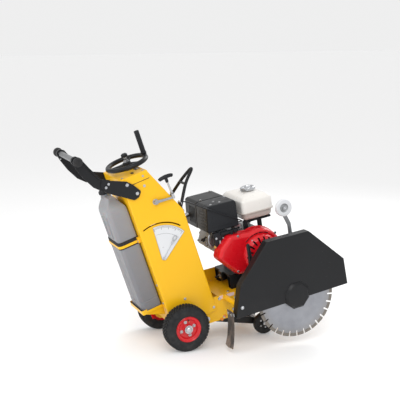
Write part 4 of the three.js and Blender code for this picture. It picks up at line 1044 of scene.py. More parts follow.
def depth_scale():
    face = -COL_HALF - 1.4
    plate = Piece("white_plastic", "black_plastic", "steel", "zinc")
    rim = arc(SCALE_U, SCALE_W, SCALE_R, 31, 91, 30)
    outline = [(SCALE_U + 6, SCALE_W - 13)] + rim + [(SCALE_U - 11, SCALE_W - 4)]
    plate.slab(outline, face, -COL_HALF - 0.3, 0.3)
    plate.use("black_plastic")
    for k in range(29):
        a = 34 + 2 * k
        long = 15 if k % 7 == 0 else 8
        r1 = SCALE_R - 7
        u0, w0 = scale_point(r1 - long, a)
        u1, w1 = scale_point(r1, a)
        t = Vector((w0 - w1, u1 - u0)).normalized() * (0.8 if k % 7 == 0 else 0.5)
        tick = [(u0 - t.x, w0 - t.y), (u1 - t.x, w1 - t.y), (u1 + t.x, w1 + t.y), (u0 + t.x, w0 + t.y)]
        plate.slab(tick, face - 0.15, face + 0.1, 0)
    for r in (SCALE_R - 6, SCALE_R - 44):
        line = arc(SCALE_U, SCALE_W, r + 0.45, 33, 89, 28) + arc(SCALE_U, SCALE_W, r - 0.45, 89, 33, 28)
        plate.slab(line, face - 0.15, face + 0.1, 0)
    plate.use("steel")
    edge = [Vector((p[0], face, p[1])) for p in anticlockwise(outline)]
    plate.tube(edge, 1.1, 8, closed=True)
    plate.use("zinc")
    for r, a in ((60, 76), (166, 88), (166, 34)):
        u, w = scale_point(r, a)
        plate.turned([(0, 0), (2.6, 0), (1.8, 1.1), (0, 1.4)], aimed((u, face, w), (0, -1, 0)), 14)
    plate.use("white_plastic").done("depth_scale", COLUMN, "frame")

    arm = Piece("zinc", "yellow_paint")
    y = -COL_HALF - 5.2
    a = radians(41)
    spin = shift(SCALE_U, 0, SCALE_W) @ Matrix.Rotation(-a, 4, "Y")
    bar = rounded([(0, -3), (40, -1.4), (82, -1.4), (88, -6), (106, -6), (106, 6), (88, 6), (82, 1.4),
                   (40, 1.4), (0, 3)], 0.8)
    arm.slab(bar, y, y + 1.5, 0.3, place=spin)
    eye = rounded([(104, -7), (116, -12), (134, -12), (134, 12), (116, 12), (104, 7)],
                  [4, 6, 11.5, 11.5, 6, 4])
    hole = rounded([(112, -3.4), (120, -7), (130, -7), (130, 7), (120, 7), (112, 3.4)],
                   [2, 3, 6.6, 6.6, 3, 2])
    ring = Piece().slab(eye, y, y + 1.5, 0.3)
    ring.carve(Piece().slab(hole, y - 3, y + 4, 0))
    arm.merge(ring, spin)
    arm.bolt((SCALE_U, y, SCALE_W), (0, -1, 0), 3.4)
    arm.rod((SCALE_U, y + 1, SCALE_W), (SCALE_U, face - 0.05, SCALE_W), 4.4, 18)
    arm.done("depth_pointer", COLUMN, "depth_pointer")


def release_lever():
    y = LEVER_Y
    lever = Piece("steel")
    lever.rod((LEVER_U, y - 4, LEVER_W), (LEVER_U, COL_HALF + 9, LEVER_W), 8, 20)
    boss = aimed((LEVER_U, -COL_HALF - 0.6, LEVER_W), (0, -1, 0))
    lever.turned(rounded([(8, 0), (15.5, 0), (15.5, 3), (12, 4), (12, 20), (8, 20)], 0.8), boss, 28,
                 closed=True)
    lever.stack(circle(0, 0, 12.6, 6), [(14, 1), (15, 0), (20, 0), (21.4, 1.6)], "z", boss)
    outline = rounded([(68, 692), (78, 681), (96, 683), (160, 676), (186, 674), (186, 688), (160, 687),
                       (98, 697), (80, 704)], [8, 8, 9, 10, 6, 6, 10, 9, 9])
    lever.slab(outline, y - 3, y + 3, 1)
    lever.turned(rounded_rect(8, 14, 0, 4, 0.6), aimed((LEVER_U, COL_HALF + 1, LEVER_W), (0, 1, 0)), 28,
                 closed=True)
    lever.done("release_lever", COLUMN, "release_lever")

    rod = Piece("zinc", "steel")
    for s in (-1, 1):
        rod.slab(rounded_rect(170, 184, 672, 706, [6, 6, 2, 2]), y + s * 5.5 - 1.4, y + s * 5.5 + 1.4,
                 0.5)
    rod.box(170, 184, y - 6.9, y + 6.9, 700, 706, 1)
    rod.rod((177, y - 8.6, 681), (177, y + 8.6, 681), 3.2, 14)
    rod.bolt((177, y - 7, 681), (0, -1, 0), 3)
    rod.rod((176, y, 704), (171, y, 786), 5, 18)
    rod.use("steel").bolt((175.7, y, 706), (-5, 0, 81), 5, washer=False)
    rod.use("zinc").done("pull_rod", COLUMN, "pull_rod")

    tee = Piece("black_plastic")
    path = smooth_path([(132, y, 790), (140, y, 794.6), (156, y, 797), (171, y, 797.6), (186, y, 797),
                        (202, y, 794.6), (210, y, 790)], 4)
    swell = [9 + 1.6 * sin(pi * k / (len(path) - 1)) ** 2 for k in range(len(path))]
    tee.tube(path, swell, 20, soft=0.5)
    tee.tube([(171.9, y, 766), (171.6, y, 772), (171.2, y, 785), (171, y, 797)], [7.6, 8.4, 8.8, 11], 18)
    tee.done("t_handle", COLUMN, "pull_rod")


def lifting_bail():
    bail = Piece("black_paint", "zinc")
    legs = [[(COL_FRONT + 6, s * 94, 596), (300, s * 40, 682), (358, s * 14, 727)] for s in (-1, 1)]
    path = smooth_path(legs[0] + [(371, 0, 736)] + legs[1][::-1], 8)
    bail.tube(path, 8.5, 18)
    bail.rod((300, -41, 682), (300, 41, 682), 7, 16)
    for s in (-1, 1):
        bail.slab([(s * q.x, q.y) for q in rounded_rect(78, 114, 564, 624, 7)], COL_FRONT + 0.5,
                  COL_FRONT + 7, 1, axis="x")
        bail.use("zinc")
        for w in (574, 614):
            bail.bolt((COL_FRONT + 7, s * 105, w), (1, 0, 0), 4)
        bail.use("black_paint")
    bail.done("lifting_bail", COLUMN, "frame")


# ---- engine ----
CRANK_X, CRANK_Z, ENGINE_BASE, DECK_Z = 500, 283, 177, 95
SHROUD_Y = -188


def engine_platform():
    base = Piece("black_paint", "zinc")
    for near in (-104, 64):
        rail = Piece().box(330, 690, near, near + 40, DECK_Z + 0.5, ENGINE_BASE - 8, 3)
        rail.carve(Piece().box(300, 720, near + 4, near + 36, DECK_Z + 4, ENGINE_BASE - 13, 0))
        base.merge(rail)
    base.slab(rounded_rect(330, 660, -104, 104, 10), ENGINE_BASE - 9, ENGINE_BASE - 0.5, 1.2, axis="z")
    base.box(318, 331, -22, 22, 128, ENGINE_BASE - 1, 2)
    base.rod((286, 0, 150), (330, 0, 150), 6, 16)
    base.use("zinc")
    base.bolt((316, 0, 150), (-1, 0, 0), 6.4)
    for x in (360, 560):
        for y in (-84, 84):
            base.bolt((x + 60, y, ENGINE_BASE - 0.5), (0, 0, 1), 4.6)
            base.bolt((x, y - 4, DECK_Z + 4), (0, 0, 1), 4.6)
    base.use("black_paint").done("engine_platform", CHASSIS, "frame")


def crankcase():
    case = Piece("cast_alloy", "zinc", "black_plastic")
    outline = rounded([(384, ENGINE_BASE), (628, ENGINE_BASE), (628, 214), (604, 330), (560, 392),
                       (440, 400), (400, 352), (372, 262)], [6, 6, 14, 20, 26, 26, 14, 18])
    case.slab(outline, -111.6, 96, 7)
    for x in (404, 468, 532, 596):
        case.box(x - 4, x + 4, -113, -104, 184, 214, 2)
        case.box(x - 4, x + 4, 88, 99, 184, 224, 2)
    case.turned(rounded([(0, 90), (90, 90), (88, 104), (74, 110), (40, 112.4), (0, 112.4)], 4, False),
                aimed((CRANK_X, 0, CRANK_Z), (0, 1, 0)), 48)
    case.use("zinc")
    for x, z in circle(CRANK_X, CRANK_Z, 80, 7):
        case.bolt((x, 104, z), (0, 1, 0), 3.6)
    case.bolt((610, -70, 196), (1, 0, -0.1), 7)
    case.use("black_plastic")
    case.rod((618, -50, 225), (648, -50, 240), 13, 20)
    case.box(640, 656, -54, -46, 232, 246, 2)
    case.rod((616, 40, 225), (640, 40, 237), 12, 20)
    case.use("cast_alloy").done("crankcase", CHASSIS, "frame")


BARREL_TILT = radians(25)
BARREL_ROOT = (CRANK_X - 96, 0, CRANK_Z + 46)


def cylinder():
    """The barrel along its own tilted axis: X is along it, Z across."""
    tilt = Matrix.Rotation(BARREL_TILT, 4, "Y") @ Matrix.Rotation(pi, 4, "Z")
    turn = shift(*BARREL_ROOT) @ tilt
    head = Piece("cast_alloy", "zinc", "steel")
    head.box(-10, 132, -60, 60, -46, 46, 8, place=turn)
    for k in range(13):
        x = 8 + k * 8.4
        fin = rounded([(-78, -62), (78, -62), (82, -40), (82, 40), (78, 62), (-78, 62), (-82, 40),
                       (-82, -40)], 7)
        head.slab(fin, x, x + 2.4, 0.6, axis="x", place=turn)
    head.box(126, 156, -66, 66, -48, 48, 5, place=turn)
    head.box(154, 168, -56, 56, -40, 40, 6, place=turn)
    head.use("zinc")
    for y in (-48, 48):
        for z in (-32, 32):
            at, ahead = turn @ Vector((167, y, z)), turn.to_3x3() @ Vector((1, 0, 0))
            head.bolt(at, ahead, 3.6)
    at, ahead = turn @ Vector((150, -60, 8)), turn.to_3x3() @ Vector((0.4, -1, 0))
    head.use("steel").rod(at, at + ahead * 16, 8, 16)
    head.use("cast_alloy").done("cylinder", CHASSIS, "frame")
    boot = Piece("black_rubber")
    path = smooth_path([(238, -38, 391), (228, -50, 397), (215, -66, 403), (222, -86, 414),
                        (233, -97, 424)], 6)
    size = [11, 11, 11, 10.5, 10, 9.6, 9.2, 8.8, 8, 7, 6] + [5] * (len(path) - 11)
    boot.tube(path, size, 16)
    boot.done("spark_plug_cap", CHASSIS, "frame")


def shroud_outline():
    rim = arc(CRANK_X, CRANK_Z, 136, -46, 110, 30)
    return [(358, 190), (560, 185)] + rim + [(330, 421), (268, 360), (247, 312)]


def fan_shroud():
    shroud = Piece("red_paint", "zinc", "black_plastic")
    radii = [14, 10] + [0] * 31 + [20, 18, 22]
    body = anticlockwise(rounded(shroud_outline(), radii))
    shroud.stack(body, [(-112.6, 0), (-118, 0), (-119, -2.4), (-124, -2.4), (-125, 0), (-160, 1.5),
                        (-172, 4), (-180, 9), (-185, 16), (-187.6, 25)])
    # louvres over the shoulder, each a black strip that paints the shade of its mouth, under a raised brow
    for k in range(5):
        a = 128 - 15 * k
        at = shift(CRANK_X, 0, CRANK_Z) @ Matrix.Rotation(-radians(a), 4, "Y")
        shroud.use("black_plastic").box(112, 117, -187.8, -186.2, -13, 13, 0.7, place=at)
        shroud.use("red_paint").box(117.4, 120.6, -190, -184, -14, 14, 1.4, place=at)
    shroud.use("zinc")
    for x, z in ((300, 330), (352, 216), (590, 212), (380, 408), (600, 372)):
        shroud.bolt((x, -182 if z != 330 else -178, z), (0, -1, 0), 3.6)
    shroud.use("red_paint").done("fan_shroud", CHASSIS, "frame")


def recoil_starter():
    y = SHROUD_Y - 0.4
    dish = Piece("red_paint", "zinc", "black_plastic")
    profile = rounded([(0, 38), (54, 38), (64, 35), (86, 29), (101, 15), (106, 3), (106, 0), (0, 0)],
                      [0, 4, 6, 9, 9, 4, 0, 0], False)
    place = aimed((CRANK_X, y, CRANK_Z), (0, -1, 0))
    dish.turned(profile[::-1], place, 72)
    # an outer ring of 18 air slots and an inner ring of 9, with black walls that paint the shade inside them
    outer = rounded([(66, -4), (96, -5.6), (96, 5.6), (66, 4)], 3)
    inner = rounded([(26, -3), (48, -4), (48, 4), (26, 3)], 2.4)
    slots = []
    for count, offset, mouth, floor in ((18, 0, outer, 18), (9, 0.5, inner, 30)):
        for k in range(count):
            at = place @ Matrix.Rotation(2 * pi * (k + offset) / count, 4, "Z")
            slots.append(Piece("black_plastic").stack(mouth, [(floor, 0), (60, 0)], "z", at))
    dish.carve(*slots)
    dish.use("red_paint").turned(rounded([(0, 36), (18, 36), (18, 41), (0, 41)], 2, False), place, 32)
    dish.use("zinc")
    for x, z in circle(CRANK_X, CRANK_Z, 98, 4, radians(30)):
        dish.bolt((x, y - 12, z), (0, -1, 0), 3)
    dish.use("red_paint").done("recoil_starter", CHASSIS, "frame")

    grip = Piece("black_plastic")
    gy = SHROUD_Y - 48
    bend = [(404, gy + 1, 250), (405, gy, 262), (406, gy - 1, 285), (407, gy - 1, 310),
            (407, gy - 1, 335), (406, gy, 358), (405, gy + 1, 370)]
    taper = [9.5, 10, 10.6, 11.4, 11.8]
    grip.tube(smooth_path(bend, 4), taper + [12] * 15 + taper[::-1], 18, soft=0.45, squash=0.85)
    pull = (CHASSIS.inverted().to_3x3() @ Vector(JOINT["recoil_pull"]["axis"])).normalized()
    knot = Vector((407, gy - 1, 311))
    mouth = knot - 30 * pull
    grip.tube([knot - 4 * pull, knot - 14 * pull, knot - 19 * pull], [8, 6.4, 4.4], 16)
    grip.done("recoil_handle", CHASSIS, "recoil_handle")
    horn = [mouth + 2 * pull, mouth, mouth - 8 * pull, mouth - 16 * pull + Vector((0, 3, 0)),
            mouth - 25 * pull + Vector((0, 11, 0)), mouth - 30 * pull + Vector((0, 19, 0))]
    bush = Piece("black_plastic").tube(smooth_path(horn, 3), 8, 20, soft=0.4)
    bush.done("rope_guide", CHASSIS, "frame", extra=True)

    # the rope is wound on the reel behind the dish, and a straight length of it runs out to the grip
    rope = Piece("black_rubber").tube([mouth + (2 * k - 6) * pull for k in range(18)], 2.2, 12)
    rope = rope.done("starter_rope", CHASSIS, None, extra=True)
    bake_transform(rope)


def fuel_tank():
    tank = Piece("white_paint", "cream_paint", "black_plastic")
    upper = rounded_rect(456, 646, -114, 156, 22, step=10)
    tank.stack(upper, [(497, 1), (499, 0), (530, 0.8), (553, 2.2), (558, 3.4), (562, 6), (569, 13),
                       (575, 20), (577.4, 24), (580, 34), (584, 54), (585.6, 70)], "z")
    tank.use("cream_paint")
    rim = rounded_rect(450, 652, -120, 162, 34, step=10)
    tank.slab(rim, 492, 497.6, 1.4, axis="z")
    lower = rounded_rect(460, 642, -110, 154, 28, step=10)
    tank.stack(lower, [(493, 0), (480, 1), (466, 4), (458, 9), (453.5, 18), (452, 30)][::-1], "z")
    tank.use("black_plastic")
    # straps that carry the tank over the crankcase, with rubber mounts between
    for y in (-74, 74):
        for x in (486, 616):
            tank.rod((x, y, 455), (x, y, 446), 11, 18)
        tank.box(470, 634, y - 11, y + 11, 437, 449, 2)
        tank.box(470, 490, y - 11, y + 11, 394, 440, 2)
        tank.box(556, 576, y - 11, y + 11, 384, 440, 2)
    tank.use("white_paint").done("fuel_tank", CHASSIS, "frame")

    cap = Piece("zinc")
    cap_x, cap_y = 566, 20
    at = shift(cap_x, cap_y, 0)
    cap.turned([(0, 586.4), (33, 586.4), (34, 588.6), (41, 590), (41.6, 592), (41.6, 602.4), (40, 605),
                (36, 607), (31, 607.6), (27, 606), (25, 601.6), (12, 601), (10, 602.6), (0, 603)], at,
               48)
    for x, y in circle(cap_x, cap_y, 41, 30):
        cap.rod((x, y, 591.5), (x, y, 603), 1.5, 8)
    cap.done("fuel_cap", CHASSIS, "fuel_cap")


TOP_BOX = [(235, 446), (422, 446), (422, 582), (412, 592), (262, 592), (248, 584)]


def air_cleaner():
    case = Piece("black_plastic", "zinc")
    outline = rounded(TOP_BOX, [8, 8, 7, 7, 9, 9])
    case.stack(outline, [(-125, 7), (-123, 2.6), (-119, 0.4), (-115, 0), (-76, 0), (-75.4, 1.6),
                         (-73, 1.6), (-72.4, 0), (12, 0), (19, 1.2), (22, 5)])
    case.slab(rounded([(262, 470), (398, 470), (398, 566), (278, 566)], 14), -126.4, -122, 1.4, soft1=0)
    case.use("zinc")
    for x, y in ((338, -96), (318, -60), (282, -104), (400, -20)):
        case.bolt((x, y, 592), (0, 0, 1), 3.4)
    for x in (262, 396):
        case.box(x - 5, x + 5, -80, -68, 442, 447, 1)
    case.use("black_plastic")
    for k in range(6):
        z = 462 + k * 17
        case.box(234 + (z - 446) * 0.094, 240 + (z - 446) * 0.094, -108, -20, z, z + 8, 2)
    case.done("air_cleaner", CHASSIS, "frame")


def muffler():
    shield = Piece("black_paint", "zinc", "steel")
    skin = Piece().slab(rounded(TOP_BOX, [4, 4, 7, 7, 9, 9]), 24, 181, 5)
    slots = []
    for k in range(6):
        x = 268 + 24 * k
        slots.append(Piece().slab(rounded_rect(x, x + 9, 476, 560, 4), 170, 190, 0))
    slots += [Piece().slab(rounded_rect(40 + 18 * k, 49 + 18 * k, 468, 560, 4), 225, 256, 0, axis="x")
              for k in range(5)]
    skin.carve(*slots)
    shield.merge(skin)
    shield.use("steel").rod((330, 104, 447), (330, 104, 424), 20, 24)
    shield.turned(rounded_rect(19, 32, 0, 5, 1), aimed((330, 104, 425), (0, 0, 1)), 28, closed=True)
    outlet = smooth_path([(244, 150, 501), (228, 150, 497), (205, 150, 488)], 5)
    shield.tube(outlet, 13, 20, soft=0.08)
    shield.use("zinc")
    for x, z in ((262, 458), (404, 458), (404, 572), (276, 572)):
        shield.bolt((x, 181, z), (0, 1, 0), 3.8)
    for x, y in ((282, 34), (396, 168)):
        shield.bolt((x, y, 592), (0, 0, 1), 3.4)
    shield.use("black_paint").done("muffler", CHASSIS, "frame")


def carburettor():
    carb = Piece("cast_alloy", "brass", "zinc", "black_plastic")
    carb.box(408, 452, -84, -30, 408, 445, 5)
    carb.rod((430, -57, 412), (430, -57, 402), 18, 28)
    carb.use("brass").bolt((430, -57, 402), (0, 0, -1), 3.4)
    carb.bolt((408, -70, 430), (-1, 0, 0), 2.6)
    carb.use("zinc")
    for x in (414, 446):
        carb.bolt((x, -84, 414), (0, -1, 0), 2.6)
    # governor spring along the carburettor's top
    coil = [(352 + 0.55 * k, -92 + 3.4 * cos(k * 0.9), 440 + 3.4 * sin(k * 0.9)) for k in range(96)]
    carb.tube(coil, 0.8, 6)
    carb.rod((300, -92, 440), (352, -92, 440), 1.2, 8)
    carb.use("cast_alloy").done("carburettor", CHASSIS, "frame")

    lever = Piece("zinc")
    lever.rod((430, -84.6, 426), (430, -90, 426), 7, 18)
    lever.slab(rounded([(423, 420), (437, 420), (435, 472), (425, 472)], [5, 5, 4, 4]), -90, -87, 0.6)
    lever.done("throttle_lever", CHASSIS, "throttle_lever")

    route = [(96, -128, 664), (150, -134, 645), (235, -135, 592), (330, -135, 536), (408, -135, 490),
             (438, -128, 470), (441, -110, 462), (434, -95, 460)]
    path = smooth_path(route, 8)
    cable = Piece("black_plastic").tube(path, 3.2, 12).done("throttle_cable", CHASSIS, "frame")
    ends = Piece("zinc").tube(path[:3], 4.6, 12)
    ends.tube(path[-4:], [4.2, 4.2, 3.8, 3.6], 12)
    ends = ends.done("cable_ends", CHASSIS, "frame", extra=True)
    run = [CHASSIS @ p for p in path]
    length = sum((b - a).length for a, b in zip(run, run[1:]))
    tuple(run[0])


def controls():
    """The black bracket beside the shroud with the choke and fuel levers and their small parts."""
    panel = Piece("black_plastic", "zinc", "brass", "dull_steel")
    panel.slab(rounded([(262, 366), (300, 350), (346, 424), (346, 442), (262, 442)], 6), -136, -120, 2)
    panel.box(300, 402, -150, -128, 424, 440, 3)
    panel.box(352, 366, -156, -148, 408, 436, 2)
    panel.rod((378, -152, 432), (378, -160, 432), 7, 18)
    panel.use("zinc")
    panel.rod((292, -139, 398), (290, -139, 382), 4.4, 14)
    panel.rod((312, -140, 412), (311, -140, 404), 3.4, 14)
    panel.bolt((274, -136, 412), (0, -1, 0), 3.2, tail=4)
    panel.bolt((330, -136, 434), (0, -1, 0), 2.4)
    panel.use("dull_steel")
    panel.tube(smooth_path([(246, -112, 436), (236, -118, 420), (233, -120, 398), (240, -119, 378),
                            (252, -116, 368)], 6), 8, 18)
    panel.rod((262, -128, 388), (296, -137, 372), 2.4, 12)
    panel.use("brass").bolt((262, -130, 366), (-0.3, -1, 0), 4, tail=4)
    panel.use("black_plastic").done("engine_controls", CHASSIS, "frame", extra=True)


# ---- drive, blade and guard ----
BLADE_X, BLADE_Z, BLADE_R, BLADE_Y = 597, 45.5, 225, -337
SEGMENTS = 30
GUARD_PIVOT = (270, 80)
GUARD_Y0, GUARD_Y1 = -362, -308
BELT_Y = 180


def belt_outline(grow):
    """The belt's run round both pulleys, moved outwards by grow."""
    top, low = 50 + grow, 60 + grow
    dx, dz = BLADE_X - CRANK_X, BLADE_Z - CRANK_Z
    ahead = atan2(dz, dx)
    opening = acos((top - low) / hypot(dx, dz))
    a0, a1 = degrees(ahead - opening), degrees(ahead + opening)
    return arc(BLADE_X, BLADE_Z, low, a0, a1, 20) + arc(CRANK_X, CRANK_Z, top, a1, a0 + 360, 20)


def drive():
    guard = Piece("black_paint", "zinc")
    shell = Piece().slab(belt_outline(22), BELT_Y - 34, BELT_Y + 36, 1, soft1=9)
    tools = [Piece().slab(belt_outline(19), BELT_Y - 31, BELT_Y + 33, 1, soft1=7)]
    tools.append(Piece().slab(circle(CRANK_X, CRANK_Z, 20, 28), BELT_Y - 40, BELT_Y - 20, 0))
    tools.append(Piece().slab(circle(BLADE_X, BLADE_Z, 40, 32), BELT_Y - 40, BELT_Y - 20, 0))
    for k in range(8):
        for x, z in ((CRANK_X, CRANK_Z), (BLADE_X, BLADE_Z)):
            at = shift(x, 0, z) @ Matrix.Rotation(2 * pi * k / 8, 4, "Y")
            tools.append(Piece().slab(rounded_rect(20, 42, -3, 3, 2.8), BELT_Y + 26, BELT_Y + 44, 0,
                                      place=at))
    shell.carve(*tools)
    guard.merge(shell)
    guard.use("zinc")
    for x, z in ((CRANK_X - 50, CRANK_Z + 30), (CRANK_X + 52, CRANK_Z + 30), (BLADE_X - 62, BLADE_Z - 24),
                 (BLADE_X + 62, BLADE_Z - 24)):
        guard.bolt((x, BELT_Y + 36, z), (0, 1, 0), 4.2)
    guard.use("black_paint").done("belt_guard", CHASSIS, "frame")

    belt = Piece("black_rubber")
    for k in range(3):
        y = BELT_Y - 9.4 + 6.6 * k
        outer = Piece().slab(belt_outline(-1), y, y + 5.6, 0.6)
        outer.carve(Piece().slab(belt_outline(-8.4), y - 2, y + 8, 0))
        belt.merge(outer)
    belt.done("drive_belt", CHASSIS, "frame")

    for name, x, z, r, bore, body in (("engine_pulley", CRANK_X, CRANK_Z, 50, 0, "engine_shaft"),
                                      ("shaft_pulley", BLADE_X, BLADE_Z, 60, 17.9, "blade")):
        wheel = Piece("steel", "zinc")
        groove = [(bore, 20), (r - 1, 20), (r, 19), (r, 11.4)]
        for k in range(3):
            y = 9.9 - 6.6 * k
            groove += [(r, y + 0.5), (r - 9, y - 2.4), (r - 9, y - 4.2), (r, y - 6.1)]
        groove += [(r, -19), (r - 1, -20), (bore, -20)]
        place = aimed((x, BELT_Y, z), (0, 1, 0))
        wheel.turned(groove, place, 48, closed=bore > 0)
        if not bore:
            wheel.rod((x, 70, z), (x, BELT_Y + 24, z), 12.4, 24)
        wheel.use("zinc").bolt((x, BELT_Y + (27.6 if bore else 23), z), (0, 1, 0), 6)
        wheel.use("steel").done(name, CHASSIS, body)

    shaft = Piece("steel", "zinc")
    shaft.rod((BLADE_X, GUARD_Y0 + 8, BLADE_Z), (BLADE_X, 207, BLADE_Z), 16.4, 32)
    shaft.rod((BLADE_X, BLADE_Y + 10, BLADE_Z), (BLADE_X, 206, BLADE_Z), 17.4, 32)
    collar = rounded([(0, 0), (55, 0), (55, 6), (40, 14), (24, 17.6), (0, 17.6)], [0, 1, 1, 4, 2, 0], False)
    shaft.turned(collar, aimed((BLADE_X, BLADE_Y + 2.2, BLADE_Z), (0, 1, 0)), 48)
    shaft.done("blade_shaft", CHASSIS, "blade")

    flange = Piece("zinc", "steel")
    place = aimed((BLADE_X, BLADE_Y - 2.2, BLADE_Z), (0, -1, 0))
    flange.turned(rounded([(17, 0), (52, 0), (52, 4), (44, 8.6), (28, 9.4), (17, 9.4)],
                          [0, 1, 1, 3, 1, 0]), place, 48, closed=True)
    flange.use("steel").stack(circle(0, 0, 26, 6), [(8, 1), (9, 0), (14.4, 0), (16, 2.4)], "z", place)
    flange.use("zinc").done("outer_flange", CHASSIS, "blade")

    for side, where in ((-1, "right"), (1, "left")):
        start, stop = (282, 117) if side < 0 else (117, 143)
        unit = Piece("black_paint", "zinc")
        place = aimed((BLADE_X, 0, BLADE_Z), (0, side, 0))
        unit.turned(rounded_rect(18.2, 33, start, stop, 2), place, 40, closed=True)
        flange_r = 48 if side < 0 else 44
        unit.turned(rounded([(30, 139.6), (flange_r, 139.6), (flange_r, 145), (36, 148), (30, 148)],
                            1.4), place, 44, closed=True)
        unit.use("zinc")
        for x, z in circle(BLADE_X, BLADE_Z, flange_r - 6.4, 4, radians(45)):
            unit.bolt((x, side * 144, z), (0, side, 0), 3)
        unit.use("black_paint").done("bearing_" + where, CHASSIS, "frame")


def blade():
    disc = Piece("blade_steel", "segment_bond", "steel")
    step = 2 * pi / SEGMENTS
    rim = BLADE_R - 17
    outline = []
    for k in range(SEGMENTS):
        a = k * step
        # a slot between segments ends in a round keyhole
        half = 4.2 / rim
        throat = BLADE_R - 26
        outline += [(rim * cos(a + t), rim * sin(a + t)) for t in (half, step / 2, step - half)]
        b = a + step
        hole = [Vector((throat * cos(b), throat * sin(b))) + Vector((cos(b + q), sin(b + q))) * 4.4
                for q in (radians(-64 - 58 * j) for j in range(5))]
        outline += [(p.x, p.y) for p in hole]
    place = aimed((BLADE_X, BLADE_Y, BLADE_Z), (0, -1, 0))
    core = Piece().stack(outline, [(-1.3, 0), (1.3, 0)], "z")
    core.carve(Piece().stack(circle(0, 0, 17.2, 32), [(-9, 0), (9, 0)], "z"),
               Piece().stack(circle(40, 0, 5.4, 16), [(-9, 0), (9, 0)], "z"))
    disc.merge(core, place)
    disc.use("segment_bond")
    for k in range(SEGMENTS):
        a = k * step
        half = 4.2 / BLADE_R
        turns = [a + half + (step - 2 * half) * q / 4 for q in range(5)]
        shape = [(BLADE_R * cos(t), BLADE_R * sin(t)) for t in turns]
        shape += [((rim - 1) * cos(t), (rim - 1) * sin(t)) for t in turns[::-1]]
        disc.stack(shape, [(-1.8, 0.5), (-1.3, 0), (1.3, 0), (1.8, 0.5)], "z", place)
    disc.use("blade_steel").done("blade", CHASSIS, "blade", slot="steel")


def guard_outline():
    return [(228, 28), (910, 36), (904, 184), (712, 391), (462, 394), (276, 196)]


def blade_guard():
    hub_x, hub_z = BLADE_X - 4, BLADE_Z + 14
    outline = rounded(guard_outline(), [5, 6, 10, 12, 12, 10])
    shell = Piece().slab(outline, GUARD_Y0, GUARD_Y1, 6, soft1=3, steps=5)
    inner = inset(anticlockwise(guard_outline()), 3)
    hollow = Piece().slab(rounded(inner, 8), GUARD_Y0 + 3, GUARD_Y1 - 3, 4)
    under = Piece().slab([(250, -40), (900, -40), (906.6, 43), (231.4, 35)], GUARD_Y0 + 3, GUARD_Y1 - 3, 0)
    octagon = circle(hub_x, hub_z, 76, 8, radians(22.5))
    notch = rounded([(BLADE_X - 62, -10), (BLADE_X + 62, -10), (BLADE_X + 62, BLADE_Z + 30),
                     (BLADE_X + 30, BLADE_Z + 62), (BLADE_X - 30, BLADE_Z + 62),
                     (BLADE_X - 62, BLADE_Z + 30)], 6)
    shell.carve(hollow, under,
                Piece().slab(notch, GUARD_Y1 - 8, GUARD_Y1 + 4, 0),
                Piece().slab(inset(anticlockwise(octagon), 5), GUARD_Y0 - 9, GUARD_Y0 + 9, 0),
                Piece().slab(circle(*GUARD_PIVOT, 7, 20), GUARD_Y1 - 8, GUARD_Y1 + 4, 0))
    hub = Piece().stack(octagon, [(GUARD_Y0 + 1, 0), (GUARD_Y0 - 3, 0.4), (GUARD_Y0 - 4, 1),
                                  (GUARD_Y0 - 15, 11), (GUARD_Y0 - 15.8, 12.4), (GUARD_Y0 - 16, 14)])
    pocket = Piece().stack(octagon, [(GUARD_Y0 + 4, 4), (GUARD_Y0 - 4, 4.6), (GUARD_Y0 - 13, 14)])
    hub.carve(pocket)
    guard = Piece("black_paint", "zinc")
    guard.merge(shell)
    guard.merge(hub)
    # weld beads along the hub cover
    for p, q in zip(octagon, octagon[1:] + octagon[:1]):
        guard.tube([(p[0], GUARD_Y0 + 0.2, p[1]), (q[0], GUARD_Y0 + 0.2, q[1])], 1.6, 8)
    guard.use("zinc")
    guard.bolt((269, GUARD_Y0, 82), (0, -1, 0), 4.6)
    guard.bolt((GUARD_PIVOT[0], GUARD_Y1 - 3.5, GUARD_PIVOT[1]), (0, -1, 0), 5)
    guard.use("black_paint").done("blade_guard", CHASSIS, "guard")


def splash_flap():
    y0, y1 = GUARD_Y0 + 4, GUARD_Y1 + 36
    flap = Piece("flap_rubber", "zinc")
    rows, cols = 22, 12
    front, back = [], []
    for i in range(rows + 1):
        t = i / rows
        x, z = 214 - 34 * t * t, 66 - 196 * t
        flare = 1 + 0.10 * max(0, t - 0.72) / 0.28
        line = []
        for j in range(cols + 1):
            s = j / cols
            y = (y0 + y1) / 2 + (s - 0.5) * (y1 - y0) * (0.80 + 0.12 * t) * flare
            wave = 2.6 * sin(5.1 * s + 2.2 * t) * t * t - 5 * t * t * abs(s - 0.5)
            line.append((x + wave, y, z + 2.2 * sin(7 * s + 0.6) * (t > 0.98)))
        front.append(line)
        back.append([(x + 4.6, y, z) for x, y, z in line[::-1]])
    flap.rings([f + b for f, b in zip(front, back)])
    flap.use("zinc").slab(rounded_rect(-350, -280, 40, 58, 4), 218.6, 222.4, 0.8, axis="x")
    for y in (-334, -296):
        flap.bolt((214, y, 49), (-1, 0, 0), 4.2)
    flap.use("flap_rubber").done("splash_flap", CHASSIS, "guard", slot="black_rubber")


# ---- front guide ----
ROLLER_X, ROLLER_Z, ROLLER_Y = 676, 492, -168
PIN_X, PIN_Z = 706, 62


